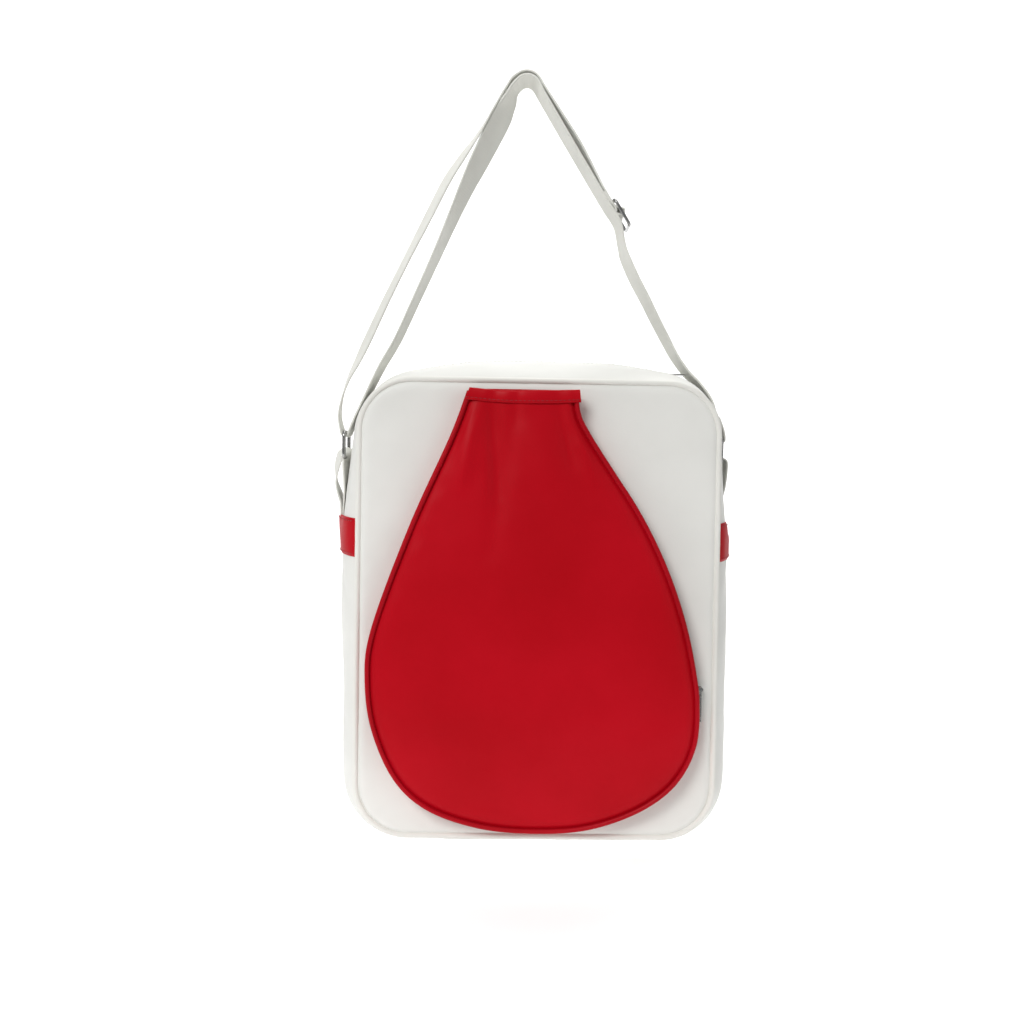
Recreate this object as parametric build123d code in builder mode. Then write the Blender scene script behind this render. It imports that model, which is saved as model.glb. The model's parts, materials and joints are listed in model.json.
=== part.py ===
from build123d import *
import math
import os

os.makedirs("parts", exist_ok=True)

# A racket shoulder bag hanging from its strap. Millimetres, +Z up, front face towards -Y.
# The origin is the underside of the strap where it hangs over a hook. Sketches are drawn on
# planes whose local X is measured from the bag's middle and whose local Y is the height above
# the bag's lowest point.

# ---- driving dimensions ----
HANG_HEIGHT = 630.0  # underside of the strap's peak above the bag's base
PEAK_X = -14.0  # the strap's peak is left of the bag's middle
BAG_WIDTH = 320.0
BAG_HEIGHT = 394.0
BAG_DEPTH = 96.0  # between the outer faces of the front and back panels
CROWN = 12.5  # how far the gusset bows out beyond the piping line
TAPER = 0.8  # each side leans in by this much from the middle to the top
CORNER_R = 40.0
PANEL_T = 1.6
PIPING_R = 2.5
GUSSET_T = 1.6
LINING_T = 0.6
SEAM_GAP = 0.1  # clearance between sewn pieces
LAYER_GAP = 0.4  # clearance between loose layers

BAND_LOW = 241.0
BAND_HIGH = 271.0
BAND_T = 1.2

WEB_W = 25.0
WEB_T = 1.6
HOOK_R = 8.0  # radius the strap takes over the hook
FOLD_HEIGHT = 406.0  # the strap folds over the bag about this height

RING_X = 163.8  # distance of each ring from the bag's middle
RING_TOP = 339.5  # height of the ring's upper bar
RING_REACH = 21.0  # between the centres of its two bars
RING_W = 33.0
WIRE_R = 1.5

ZIP_LINE = 388.9  # height of the main zip's tapes
ZIP_HALF = 106.0
SLIDER_X = 98.0  # the closed slider, from the bag's middle

POCKET_DEPTH = 12.0
POCKET_T = 1.4
MOUTH_HEIGHT = 373.5
POCKET_ARC_R = 368.0  # the pocket's zipped side is an arc of this radius
POCKET_ARC_CENTRE = (-237.0, 88.0)
POCKET_SLIDER_ANGLE = 7.5

# ---- derived ----
HALF_DEPTH = BAG_DEPTH / 2
SEAM_LOW = CROWN
SEAM_HIGH = BAG_HEIGHT - CROWN
SEAM_MID = (SEAM_LOW + SEAM_HIGH) / 2
SEAM_HALF = BAG_WIDTH / 2 - CROWN
PIPING_Y = HALF_DEPTH - 3.0
GUSSET_HALF = PIPING_Y - PIPING_R - 0.6
HALF_WEB = WEB_W / 2
BAND_MID = (BAND_LOW + BAND_HIGH) / 2
BAG_ORIGIN = (-PEAK_X, 0, -HANG_HEIGHT)

FRONT = Plane(origin=BAG_ORIGIN, x_dir=(1, 0, 0), z_dir=(0, -1, 0))
SIDE = Plane(origin=BAG_ORIGIN, x_dir=(0, 1, 0), z_dir=(1, 0, 0))


def at_depth(y):
    """The front plane moved to depth y. Extruding from it goes towards the front."""
    return FRONT.offset(-y)


def seam_x(height):
    """Half width of the piping line at a height: the bag is a little wider at its base."""
    return SEAM_HALF + TAPER * (SEAM_MID - height) / (SEAM_HIGH - SEAM_MID)


def along(start, end, height):
    """The point at a height on the line from start to end."""
    share = (height - start[1]) / (end[1] - start[1])
    return (start[0] + share * (end[0] - start[0]), height)


def touch(point, centre, radius, side):
    """Where the line from point touches a circle; side is 1 for its left and -1 for its right."""
    dx, dy = centre[0] - point[0], centre[1] - point[1]
    heading = math.atan2(dy, dx) + side * math.asin(radius / math.hypot(dx, dy))
    normal = heading + side * math.pi / 2
    return (centre[0] + radius * math.cos(normal), centre[1] + radius * math.sin(normal))


def save(piece, name):
    piece.part.label = name
    export_step(piece.part, f"parts/{name}.step")


# ---- front and back: panels, padding and lining ----
def seam_corners():
    low, high = SEAM_LOW, SEAM_HIGH
    left_low, right_low = (-seam_x(low), low), (seam_x(low), low)
    right_high, left_high = (seam_x(high), high), (-seam_x(high), high)
    return [left_low, right_low, right_high, left_high]


def flat_panel(front_y, thickness, inset):
    """A plate with the bag's outline, drawn in from the piping line by inset."""
    with BuildPart() as plate:
        with BuildSketch(at_depth(front_y + thickness)):
            with BuildLine():
                FilletPolyline(*seam_corners(), radius=CORNER_R, close=True)
            make_face()
            offset(amount=-inset)
        extrude(amount=thickness)
    return plate


PANEL_INSET = PIPING_R + SEAM_GAP
LINER_INSET = 6.0
FOAM_T = 2.0
BACK_BOARD_T = 2.0

front_panel = flat_panel(-HALF_DEPTH, PANEL_T, PANEL_INSET)
save(front_panel, "front_panel")

back_panel = flat_panel(HALF_DEPTH - PANEL_T, PANEL_T, PANEL_INSET)
save(back_panel, "back_panel")

front_foam_y = -HALF_DEPTH + PANEL_T + SEAM_GAP
front_foam = flat_panel(front_foam_y, FOAM_T, LINER_INSET)
save(front_foam, "front_foam")

lining_front_y = front_foam_y + FOAM_T + SEAM_GAP
lining_front = flat_panel(lining_front_y, LINING_T, LINER_INSET)
save(lining_front, "lining_front")

back_board_y = HALF_DEPTH - PANEL_T - SEAM_GAP - BACK_BOARD_T
back_board = flat_panel(back_board_y, BACK_BOARD_T, LINER_INSET)
save(back_board, "back_board")

lining_back_y = back_board_y - SEAM_GAP - LINING_T
lining_back = flat_panel(lining_back_y, LINING_T, LINER_INSET)
save(lining_back, "lining_back")


# ---- piping: a covered cord in the seam round each panel ----
def piping_ring(y):
    with BuildPart() as ring:
        with BuildLine(at_depth(y)) as seam:
            FilletPolyline(*seam_corners(), radius=CORNER_R, close=True)
        path = seam.wire()
        with BuildSketch(Plane(origin=path @ 0, z_dir=path % 0)):
            Circle(PIPING_R)
        sweep(path=path)
    return ring


front_piping = piping_ring(-PIPING_Y)
save(front_piping, "front_piping")

back_piping = piping_ring(PIPING_Y)
save(back_piping, "back_piping")


# ---- gusset: a crowned strip all round, with a zip panel along the top ----
def crowned_strip(points, thickness, edge, crest, half):
    """A crowned strip swept along the seam line through points, which starts on the left side.
    edge and crest are how far the middle of its thickness stands out from that line."""
    with BuildPart() as strip:
        with BuildLine(FRONT) as seam:
            FilletPolyline(*points, radius=CORNER_R)
        path = seam.wire()
        with BuildSketch(Plane(origin=path @ 0, x_dir=(-1, 0, 0), z_dir=path % 0)):
            with BuildLine():
                arc = ThreePointArc((edge, -half), (crest, 0), (edge, half))
            trace(arc, line_width=thickness)
        sweep(path=path)
    return strip


def gusset_strip(points):
    return crowned_strip(points, GUSSET_T, 0.0, CROWN - GUSSET_T / 2, GUSSET_HALF)


lower_path = [
    (-seam_x(BAND_MID), BAND_MID - SEAM_GAP),
    (-seam_x(SEAM_LOW), SEAM_LOW),
    (seam_x(SEAM_LOW), SEAM_LOW),
    (seam_x(BAND_MID), BAND_MID - SEAM_GAP),
]
lower_gusset = gusset_strip(lower_path)
save(lower_gusset, "lower_gusset")

upper_left_path = [
    (-seam_x(BAND_MID), BAND_MID + SEAM_GAP),
    (-seam_x(SEAM_HIGH), SEAM_HIGH),
    (-ZIP_HALF + 1.0, SEAM_HIGH),
]
upper_gusset_left = gusset_strip(upper_left_path)
save(upper_gusset_left, "upper_gusset_left")

with BuildPart() as upper_gusset_right:
    mirror(upper_gusset_left.part, about=Plane(origin=BAG_ORIGIN, z_dir=(1, 0, 0)))
save(upper_gusset_right, "upper_gusset_right")

ZIP_LIP = 6.2  # half the gap between the zip panel's folded edges
LIP_START = 12.0  # where each half of the zip panel turns down to its folded edge
LIP_DROP = 1.2
ZIP_PANEL_HALF = ZIP_HALF - 1.0 - SEAM_GAP


def zip_panel(side):
    """One half of the zip panel: from the piping up over the crown and down to the zip."""
    crest = BAG_HEIGHT - GUSSET_T / 2
    with BuildPart() as panel:
        with BuildSketch(SIDE.offset(-ZIP_PANEL_HALF)):
            with BuildLine():
                crown = ThreePointArc(
                    (side * GUSSET_HALF, SEAM_HIGH),
                    (side * GUSSET_HALF * 0.6, SEAM_HIGH + 0.72 * (CROWN - GUSSET_T / 2)),
                    (side * LIP_START, crest),
                )
                lip = Line((side * LIP_START, crest), (side * ZIP_LIP, crest - LIP_DROP))
            trace([crown, lip], line_width=GUSSET_T)
        extrude(amount=2 * ZIP_PANEL_HALF)
    return panel


zip_panel_front = zip_panel(-1)
save(zip_panel_front, "zip_panel_front")

zip_panel_rear = zip_panel(1)
save(zip_panel_rear, "zip_panel_rear")

# The lining follows the lower gusset just inside it, and a board stiffens the base.
LINING_LIFT = GUSSET_T / 2 + LAYER_GAP + LINING_T / 2
lining_half = GUSSET_HALF - 3.0
gusset_lining = crowned_strip(
    lower_path, LINING_T, -LINING_LIFT, CROWN - GUSSET_T / 2 - LINING_LIFT, lining_half
)
save(gusset_lining, "gusset_lining")

BASE_BOARD_L, BASE_BOARD_W, BASE_BOARD_T = 212.0, 72.0, 3.0
BASE_BOARD_R = 10.0
BASE_BOARD_Z = SEAM_LOW + 2.0
with BuildPart() as base_board:
    with BuildSketch(Plane(origin=BAG_ORIGIN).offset(BASE_BOARD_Z)):
        RectangleRounded(BASE_BOARD_L, BASE_BOARD_W, BASE_BOARD_R)
    extrude(amount=BASE_BOARD_T)
save(base_board, "base_board")

# An open-topped patch pocket sewn on the back lining by three hems.
SLIP_X, SLIP_LOW, SLIP_HIGH, SLIP_HEM, SLIP_LIFT = 85.0, 120.0, 270.0, 6.0, 2.0
with BuildPart() as slip_pocket:
    with BuildSketch(at_depth(lining_back_y - SEAM_GAP)):
        with Locations((0, (SLIP_LOW + SLIP_HIGH) / 2)):
            Rectangle(2 * SLIP_X, SLIP_HIGH - SLIP_LOW)
    extrude(amount=SLIP_LIFT + LINING_T)
    with BuildSketch(at_depth(lining_back_y - SEAM_GAP)):
        with Locations((0, (SLIP_LOW + SLIP_HIGH + SLIP_HEM) / 2 + 1)):
            Rectangle(2 * (SLIP_X - SLIP_HEM), SLIP_HIGH - SLIP_LOW - SLIP_HEM + 2)
    extrude(amount=SLIP_LIFT, mode=Mode.SUBTRACT)
save(slip_pocket, "slip_pocket")


# ---- red bands across both sides, over the joint of the gusset's strips ----
EDGE_SLANT = 1.18  # the gusset leans near its edges, so a layer on it stands out further there


def side_band(side):
    stand_off = GUSSET_T / 2 + SEAM_GAP + BAND_T / 2
    crest = CROWN - GUSSET_T / 2 + stand_off
    edge = EDGE_SLANT * stand_off
    lean = seam_x(BAND_LOW) - seam_x(BAND_HIGH)
    rise = BAND_HIGH - BAND_LOW
    foot = FRONT.from_local_coords((side * seam_x(BAND_LOW), BAND_LOW, 0))
    level = Plane(origin=foot, x_dir=(side, 0, 0), z_dir=(-side * lean, 0, rise))
    with BuildPart() as band:
        with BuildSketch(level):
            with BuildLine():
                arc = ThreePointArc((edge, -GUSSET_HALF), (crest, 0), (edge, GUSSET_HALF))
            trace(arc, line_width=BAND_T)
        extrude(amount=rise)
    return band


side_band_left = side_band(-1)
save(side_band_left, "side_band_left")

side_band_right = side_band(1)
save(side_band_right, "side_band_right")


# ---- rings and the tabs that hold them ----
RING_LOW = RING_TOP - RING_REACH
TAB_LOOP_R = 3.3
TAB_FOOT = BAND_HIGH + 1.0
TAB_SEWN = 13.0  # the height over which a tab's two layers lie together
TAB_BOW = 14.0  # how far the outer layer hangs straight below the ring before it turns in
TAB_INNER_X = RING_X - WIRE_R - LAYER_GAP - WEB_T / 2
RIVET_LIFT = 7.0
RIVET_HOLE_R = 1.6
RIVET_R = 1.5
RIVET_HEAD_R = 2.6
RIVET_HEAD_T = 1.0


def ring(side):
    """A rectangular ring of round wire, hanging in a plane across the bag."""
    with BuildPart() as loop:
        with BuildLine(SIDE.offset(side * RING_X)) as wire_line:
            half = RING_W / 2 - WIRE_R
            corners = [(-half, RING_LOW), (half, RING_LOW), (half, RING_TOP), (-half, RING_TOP)]
            FilletPolyline(*corners, radius=3.0, close=True)
        path = wire_line.wire()
        with BuildSketch(Plane(origin=path @ 0, z_dir=path % 0)):
            Circle(WIRE_R)
        sweep(path=path)
    return loop


def tab(side):
    """A strip folded over the ring's lower bar, with its outer layer bowed out and slack."""
    inner_x = TAB_INNER_X
    outer_x = inner_x + 2 * TAB_LOOP_R + WEB_T
    loop_x = (inner_x + outer_x) / 2
    loop_y = RING_LOW + LAYER_GAP
    rivet_at = FRONT.from_local_coords((side * inner_x, TAB_FOOT + RIVET_LIFT, 0))
    with BuildPart() as strip:
        with BuildSketch(at_depth(HALF_WEB)):
            with BuildLine():
                inner = Line((side * inner_x, TAB_FOOT), (side * inner_x, loop_y))
                turn = ThreePointArc(
                    (side * inner_x, loop_y),
                    (side * loop_x, loop_y + (outer_x - inner_x) / 2),
                    (side * outer_x, loop_y),
                )
                bow = Line((side * outer_x, loop_y), (side * outer_x, loop_y - TAB_BOW))
                rest_x = inner_x + WEB_T + SEAM_GAP
                back = Line(bow @ 1, (side * rest_x, TAB_FOOT + TAB_SEWN))
                foot = Line(back @ 1, (side * rest_x, TAB_FOOT))
            trace([inner, turn, bow, back, foot], line_width=WEB_T)
        extrude(amount=WEB_W)
        with Locations(Plane(origin=rivet_at, z_dir=(side, 0, 0))):
            Cylinder(RIVET_HOLE_R, 4 * WEB_T, mode=Mode.SUBTRACT)
    return strip


def rivet(side):
    """A tubular rivet through both layers of a tab."""
    seat_x = side * (TAB_INNER_X - WEB_T / 2)
    seat = FRONT.from_local_coords((seat_x, TAB_FOOT + RIVET_LIFT, 0))
    grip = 2 * WEB_T + 2 * SEAM_GAP
    with BuildPart() as pin:
        with BuildSketch(Plane(origin=seat, z_dir=(side, 0, 0))):
            Circle(RIVET_R)
        extrude(amount=grip)
        with BuildSketch(Plane(origin=seat, z_dir=(side, 0, 0)).offset(grip)):
            Circle(RIVET_HEAD_R)
        extrude(amount=RIVET_HEAD_T, taper=30)
    return pin


for name, side in (("left", -1), ("right", 1)):
    wire_ring = ring(side)
    save(wire_ring, f"ring_{name}")
    ring_tab = tab(side)
    save(ring_tab, f"ring_tab_{name}")
    tab_rivet = rivet(side)
    save(tab_rivet, f"tab_rivet_{name}")

# ---- strap: webbing from the adjuster over the peak, round the left ring and back ----
LOOP_R = WIRE_R + LAYER_GAP + WEB_T / 2
INNER_LEG = RING_X - LOOP_R  # the strand between the ring and the bag
OUTER_LEG = RING_X + LOOP_R
CORNER_WRAP_R = 54.8
LEG_BEND = 356.5  # where the inner strand turns in over the bag's shoulder
HOOK = (PEAK_X, HANG_HEIGHT - HOOK_R)
INNER_R = HOOK_R + WEB_T / 2
OUTER_R = INNER_R + WEB_T + LAYER_GAP
FOLD_GAP = 0.6
LEG_TOP = FOLD_HEIGHT - HALF_WEB - FOLD_GAP

left_shoulder = (-INNER_LEG, LEG_BEND)
right_shoulder = (INNER_LEG, LEG_BEND)
inner_left_touch = touch(left_shoulder, HOOK, INNER_R, 1)
inner_right_touch = touch(right_shoulder, HOOK, INNER_R, -1)

# The outer strand stands away from the inner one and meets it at the peak.
outer_low = (-OUTER_LEG, 366.0)
outer_mid = (-126.0, 457.0)
outer_high = (-76.0, 552.0)
outer_left_touch = touch(outer_high, HOOK, OUTER_R, 1)

strand_dx = right_shoulder[0] - inner_right_touch[0]
strand_dy = right_shoulder[1] - inner_right_touch[1]
strand_length = math.hypot(strand_dx, strand_dy)
down = (strand_dx / strand_length, strand_dy / strand_length)
out = (-down[1], down[0])


def beside(distance, lift):
    """A point on the right strand: distance down from where it leaves the hook, lifted outwards."""
    x = inner_right_touch[0] + distance * down[0] + lift * out[0]
    return (x, inner_right_touch[1] + distance * down[1] + lift * out[1])


OUTER_LIFT = WEB_T + LAYER_GAP
ADJUSTER_AT = 126.0  # along the right strand
BAR_LIFT = 6.0
END_LENGTH = 26.0
OUTER_SPLIT = 5.0  # where the outer layer is cut, just past the peak
STRAND_SWEEP_R = 120.0
LEG_SWEEP_R = 60.0

below_fold = FOLD_HEIGHT - HALF_WEB


def fold_tongue():
    """Rounds the webbing's lower ends about the fold, so that they turn without catching."""
    with BuildSketch(SIDE.offset(-BAG_WIDTH)) as tongue:
        with Locations((0, FOLD_HEIGHT + BAG_WIDTH / 2)):
            Rectangle(WEB_W, BAG_WIDTH)
        with Locations((0, FOLD_HEIGHT)):
            Circle(HALF_WEB)
    extrude(tongue.sketch, amount=2 * BAG_WIDTH, mode=Mode.INTERSECT)


with BuildPart() as strap_inner_run:
    with BuildSketch(at_depth(HALF_WEB)):
        with BuildLine():
            rise = Line(along(left_shoulder, inner_left_touch, below_fold), inner_left_touch)
            crest = ThreePointArc(inner_left_touch, (HOOK[0], HOOK[1] + INNER_R), inner_right_touch)
            fall = Line(inner_right_touch, along(right_shoulder, inner_right_touch, below_fold))
        trace([rise, crest, fall], line_width=WEB_T)
    extrude(amount=WEB_W)
    fold_tongue()
save(strap_inner_run, "strap_inner_run")

with BuildPart() as strap_outer_run:
    with BuildSketch(at_depth(HALF_WEB)):
        with BuildLine():
            climb = FilletPolyline(
                along(outer_low, outer_mid, below_fold),
                outer_mid,
                outer_high,
                outer_left_touch,
                radius=STRAND_SWEEP_R,
            )
            outer_right_touch = beside(0, OUTER_LIFT)
            crest = ThreePointArc(outer_left_touch, (HOOK[0], HOOK[1] + OUTER_R), outer_right_touch)
            fall = Line(outer_right_touch, beside(OUTER_SPLIT, OUTER_LIFT))
        trace([*climb.edges(), crest, fall], line_width=WEB_T)
    extrude(amount=WEB_W)
    fold_tongue()
save(strap_outer_run, "strap_outer_run")

# The outer layer between the peak and the adjuster shortens as the adjuster slides up.
end_top = ADJUSTER_AT - END_LENGTH
with BuildPart() as strap_outer_right:
    with BuildSketch(at_depth(HALF_WEB)):
        with BuildLine():
            layer_top = beside(OUTER_SPLIT + SEAM_GAP, OUTER_LIFT)
            layer = Line(layer_top, beside(end_top - SEAM_GAP, OUTER_LIFT))
        trace(layer, line_width=WEB_T)
    extrude(amount=WEB_W)
save(strap_outer_right, "strap_outer_right")

with BuildPart() as strap_left_loop:
    with BuildSketch(at_depth(HALF_WEB)):
        with BuildLine():
            inner = FilletPolyline(
                along(left_shoulder, inner_left_touch, LEG_TOP),
                left_shoulder,
                (-INNER_LEG, RING_TOP),
                radius=CORNER_WRAP_R,
            )
            turn = ThreePointArc(
                (-INNER_LEG, RING_TOP), (-RING_X, RING_TOP - LOOP_R), (-OUTER_LEG, RING_TOP)
            )
            outer = FilletPolyline(
                (-OUTER_LEG, RING_TOP), outer_low, along(outer_low, outer_mid, LEG_TOP),
                radius=LEG_SWEEP_R,
            )
        trace([*inner.edges(), turn, *outer.edges()], line_width=WEB_T)
    extrude(amount=WEB_W)
save(strap_left_loop, "strap_left_loop")

# The right end turns round its ring and is sewn back on itself.
FLAP_RISE, FLAP_END = 5.0, 16.0
FLAP_GAP = WEB_T + LAYER_GAP + 0.6
with BuildPart() as strap_right_leg:
    with BuildSketch(at_depth(HALF_WEB)):
        with BuildLine():
            inner = FilletPolyline(
                along(right_shoulder, inner_right_touch, LEG_TOP),
                right_shoulder,
                (INNER_LEG, RING_TOP),
                radius=CORNER_WRAP_R,
            )
            turn = ThreePointArc(
                (INNER_LEG, RING_TOP), (RING_X, RING_TOP - LOOP_R), (OUTER_LEG, RING_TOP)
            )
            flap = Line((OUTER_LEG, RING_TOP), (OUTER_LEG, RING_TOP + FLAP_RISE))
            fold = Line(flap @ 1, (INNER_LEG + FLAP_GAP, RING_TOP + FLAP_END))
        trace([*inner.edges(), turn, flap, fold], line_width=WEB_T)
    extrude(amount=WEB_W)
save(strap_right_leg, "strap_right_leg")


# ---- adjuster: a frame and bar that slide along the right strand ----
adjuster_at = FRONT.from_local_coords((*beside(ADJUSTER_AT, BAR_LIFT), 0))
adjuster_plane = Plane(origin=adjuster_at, x_dir=(down[0], 0, down[1]), z_dir=(out[0], 0, out[1]))
FRAME_L, FRAME_W, FRAME_T, FRAME_R = 26.0, 33.0, 2.4, 4.0
SLOT_L, SLOT_W, SLOT_R = 20.0, WEB_W + 1.6, 1.0
BAR_R = 1.2

with BuildPart() as adjuster_frame:
    with BuildSketch(adjuster_plane.offset(-FRAME_T / 2)):
        RectangleRounded(FRAME_L, FRAME_W, FRAME_R)
        RectangleRounded(SLOT_L, SLOT_W, SLOT_R, mode=Mode.SUBTRACT)
    extrude(amount=FRAME_T)
save(adjuster_frame, "adjuster_frame")

bar_plane = Plane(origin=adjuster_at, z_dir=(0, 1, 0))
with BuildPart() as adjuster_bar:
    with BuildSketch(bar_plane.offset(-SLOT_W / 2)):
        Circle(BAR_R)
    extrude(amount=SLOT_W)
save(adjuster_bar, "adjuster_bar")

# The strap's first end, sewn round the bar.
END_LOOP_R = BAR_R + 3 * SEAM_GAP + WEB_T / 2
RISE_BACK, FLAP_BACK, FLAP_TIP_BACK = 6.0, 8.0, 20.0  # distances back from the bar
with BuildPart() as strap_sewn_end:
    with BuildSketch(at_depth(HALF_WEB)):
        with BuildLine():
            lower_side = beside(ADJUSTER_AT, BAR_LIFT - END_LOOP_R)
            rise_at = beside(ADJUSTER_AT - RISE_BACK, OUTER_LIFT)
            under = Polyline(beside(end_top, OUTER_LIFT), rise_at, lower_side)
            turn = ThreePointArc(
                lower_side,
                beside(ADJUSTER_AT + END_LOOP_R, BAR_LIFT),
                beside(ADJUSTER_AT, BAR_LIFT + END_LOOP_R),
            )
            flap_lift = OUTER_LIFT + WEB_T + 2 * SEAM_GAP
            flap_foot = beside(ADJUSTER_AT - FLAP_BACK, flap_lift)
            flap = Polyline(turn @ 1, flap_foot, beside(ADJUSTER_AT - FLAP_TIP_BACK, flap_lift))
        trace([*under.edges(), turn, *flap.edges()], line_width=WEB_T)
    extrude(amount=WEB_W)
save(strap_sewn_end, "strap_sewn_end")


# ---- main zip: tapes, coils, stops, slider and pull ----
TAPE_T = 0.8
COIL_IN, COIL_OUT, COIL_T = 0.8, 2.7, 2.0
TAPE_OUT = 13.0
COIL_HALF = ZIP_HALF - 2.0

for name, side in (("front", -1), ("rear", 1)):
    with BuildPart() as zip_tape:
        with BuildSketch(SIDE.offset(-ZIP_PANEL_HALF)):
            with Locations((side * (COIL_OUT + SEAM_GAP + TAPE_OUT) / 2, ZIP_LINE)):
                Rectangle(TAPE_OUT - COIL_OUT - SEAM_GAP, TAPE_T)
        extrude(amount=2 * ZIP_PANEL_HALF)
    save(zip_tape, f"zip_tape_{name}")
    with BuildPart() as zip_coil:
        with BuildSketch(SIDE.offset(-COIL_HALF)):
            with Locations((side * (COIL_IN + COIL_OUT) / 2, ZIP_LINE)):
                RectangleRounded(COIL_OUT - COIL_IN, COIL_T, 0.5)
        extrude(amount=2 * COIL_HALF)
    save(zip_coil, f"zip_coil_{name}")

PLATE_T = 1.2
SLIDER_L = 12.0
SLIDER_HALF = 4.2
SLIDER_CORNER_R = 2.0
NECK_X, NECK_L, NECK_HALF = 3.5, 3.0, 0.5
PIN_R = 0.6
EAR_IN, EAR_OUT = 2.0, 2.9
EAR_L, EAR_R, EAR_SINK = 3.6, 1.8, 0.4
PULL_HOLE_R = 0.68
EYE_R = 1.6
PULL_T, PULL_W = 1.4, 6.0
PULL_NECK_L, PULL_NECK_END = 4.5, 4.4
EYE_GAP = 0.15  # on each side, between the pull's eye and the slider's ears


def slider(frame_plane, gap, pin_lift):
    """A zip slider in a plane whose X runs along the zip and whose Z points away from the bag."""
    ear_base = gap + PLATE_T - EAR_SINK

    def cross_plane(across, lift):
        origin = frame_plane.from_local_coords((0, across, lift))
        return Plane(origin=origin, x_dir=frame_plane.x_dir, z_dir=frame_plane.y_dir)

    with BuildPart() as body:
        for start in (gap, -gap - PLATE_T):
            with BuildSketch(frame_plane.offset(start)):
                RectangleRounded(SLIDER_L, 2 * SLIDER_HALF, SLIDER_CORNER_R)
            extrude(amount=PLATE_T)
        with BuildSketch(frame_plane.offset(-gap - PLATE_T / 2)):
            with Locations((NECK_X, 0)):
                Rectangle(NECK_L, 2 * NECK_HALF)
        extrude(amount=2 * gap + PLATE_T)
        for low in (-EAR_OUT, EAR_IN):
            with BuildSketch(cross_plane(low, 0)):
                with Locations((0, -(ear_base + pin_lift) / 2)):
                    Rectangle(EAR_L, pin_lift - ear_base)
                with Locations((0, -pin_lift)):
                    Circle(EAR_R)
            extrude(amount=EAR_OUT - EAR_IN)
        with BuildSketch(cross_plane(-EAR_OUT, pin_lift)):
            Circle(PIN_R)
        extrude(amount=2 * EAR_OUT)
    return body


def pull(pivot, heading, across, length):
    """A pull tab turning on a slider's pin: pivot is the pin's middle, heading points to its tip."""
    middle = Plane(origin=pivot, x_dir=heading, z_dir=across)
    eye_half = EAR_IN - EYE_GAP
    with BuildPart() as tab_piece:
        with BuildSketch(middle.offset(-eye_half)):
            Circle(EYE_R)
            with Locations((PULL_NECK_L * 2 / 3, 0)):
                Rectangle(PULL_NECK_L, PULL_T)
        extrude(amount=2 * eye_half)
        with BuildSketch(middle.offset(-PULL_W / 2)):
            with Locations(((length + PULL_NECK_END) / 2, 0)):
                Rectangle(length - PULL_NECK_END, PULL_T)
        extrude(amount=PULL_W)
        with BuildSketch(middle.offset(-EAR_OUT)):
            Circle(PULL_HOLE_R)
        extrude(amount=2 * EAR_OUT, mode=Mode.SUBTRACT)
    return tab_piece


ZIP_GAP = 1.25
ZIP_PIN_LIFT = 6.7
slider_middle = FRONT.from_local_coords((SLIDER_X, ZIP_LINE, 0))
slider_plane = Plane(origin=slider_middle, x_dir=(-1, 0, 0), z_dir=(0, 0, 1))
zip_slider = slider(slider_plane, ZIP_GAP, ZIP_PIN_LIFT)
save(zip_slider, "zip_slider")

PULL_DROOP = math.radians(3)
ZIP_PULL_L = 25.0
zip_pivot = FRONT.from_local_coords((SLIDER_X, ZIP_LINE + ZIP_PIN_LIFT, 0))
pull_heading = (math.cos(PULL_DROOP), 0, -math.sin(PULL_DROOP))
zip_pull = pull(zip_pivot, pull_heading, (0, 1, 0), ZIP_PULL_L)
save(zip_pull, "zip_pull")

STOP_L = ZIP_PANEL_HALF - COIL_HALF - 2 * SEAM_GAP
STOP_W = 2 * (COIL_OUT - SEAM_GAP)
with BuildPart() as zip_stops:
    for end in (-COIL_HALF - STOP_L - SEAM_GAP, COIL_HALF + SEAM_GAP):
        with BuildSketch(SIDE.offset(end)):
            with Locations((0, ZIP_LINE)):
                RectangleRounded(STOP_W, COIL_T, 0.4)
        extrude(amount=STOP_L)
save(zip_stops, "zip_stops")


# ---- racket pocket: a teardrop with a zip down its right side ----
def arc_point(angle, radius=POCKET_ARC_R):
    turn = math.radians(angle)
    x = POCKET_ARC_CENTRE[0] + radius * math.cos(turn)
    return (x, POCKET_ARC_CENTRE[1] + radius * math.sin(turn))


ZIP_START, ZIP_END = 5.0, 36.0
mouth_left = (-55.5, MOUTH_HEIGHT)
mouth_right = (27.0, MOUTH_HEIGHT)
left_side = [
    mouth_left,
    (-67.0, 341.0),
    (-101.0, 263.0),
    (-132.0, 173.0),
    (-129.5, 105.0),
    (-86.0, 40.0),
    (0.0, 21.4),
    (88.0, 42.0),
    (122.0, 78.0),
    arc_point(ZIP_START),
]
start_heading = (-math.sin(math.radians(ZIP_START)), math.cos(math.radians(ZIP_START)))
end_heading = (-math.sin(math.radians(ZIP_END)), math.cos(math.radians(ZIP_END)))


def pocket_left():
    return Spline(*left_side, tangents=((-0.3, -1), start_heading))


def pocket_arc(first=ZIP_START, last=ZIP_END, radius=POCKET_ARC_R):
    middle = (first + last) / 2
    return ThreePointArc(arc_point(first, radius), arc_point(middle, radius), arc_point(last, radius))


def pocket_neck():
    return Spline(arc_point(ZIP_END), mouth_right, tangents=(end_heading, (-0.1, 1)))


POCKET_BACK_Y = -HALF_DEPTH - SEAM_GAP
POCKET_FRONT_Y = POCKET_BACK_Y - POCKET_DEPTH
POCKET_PIPING_R = 2.0
COLLAR_LOW = 363.5
COLLAR_ROOM = 30.0  # the piping is cut away over this height, where the collar covers it

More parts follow.
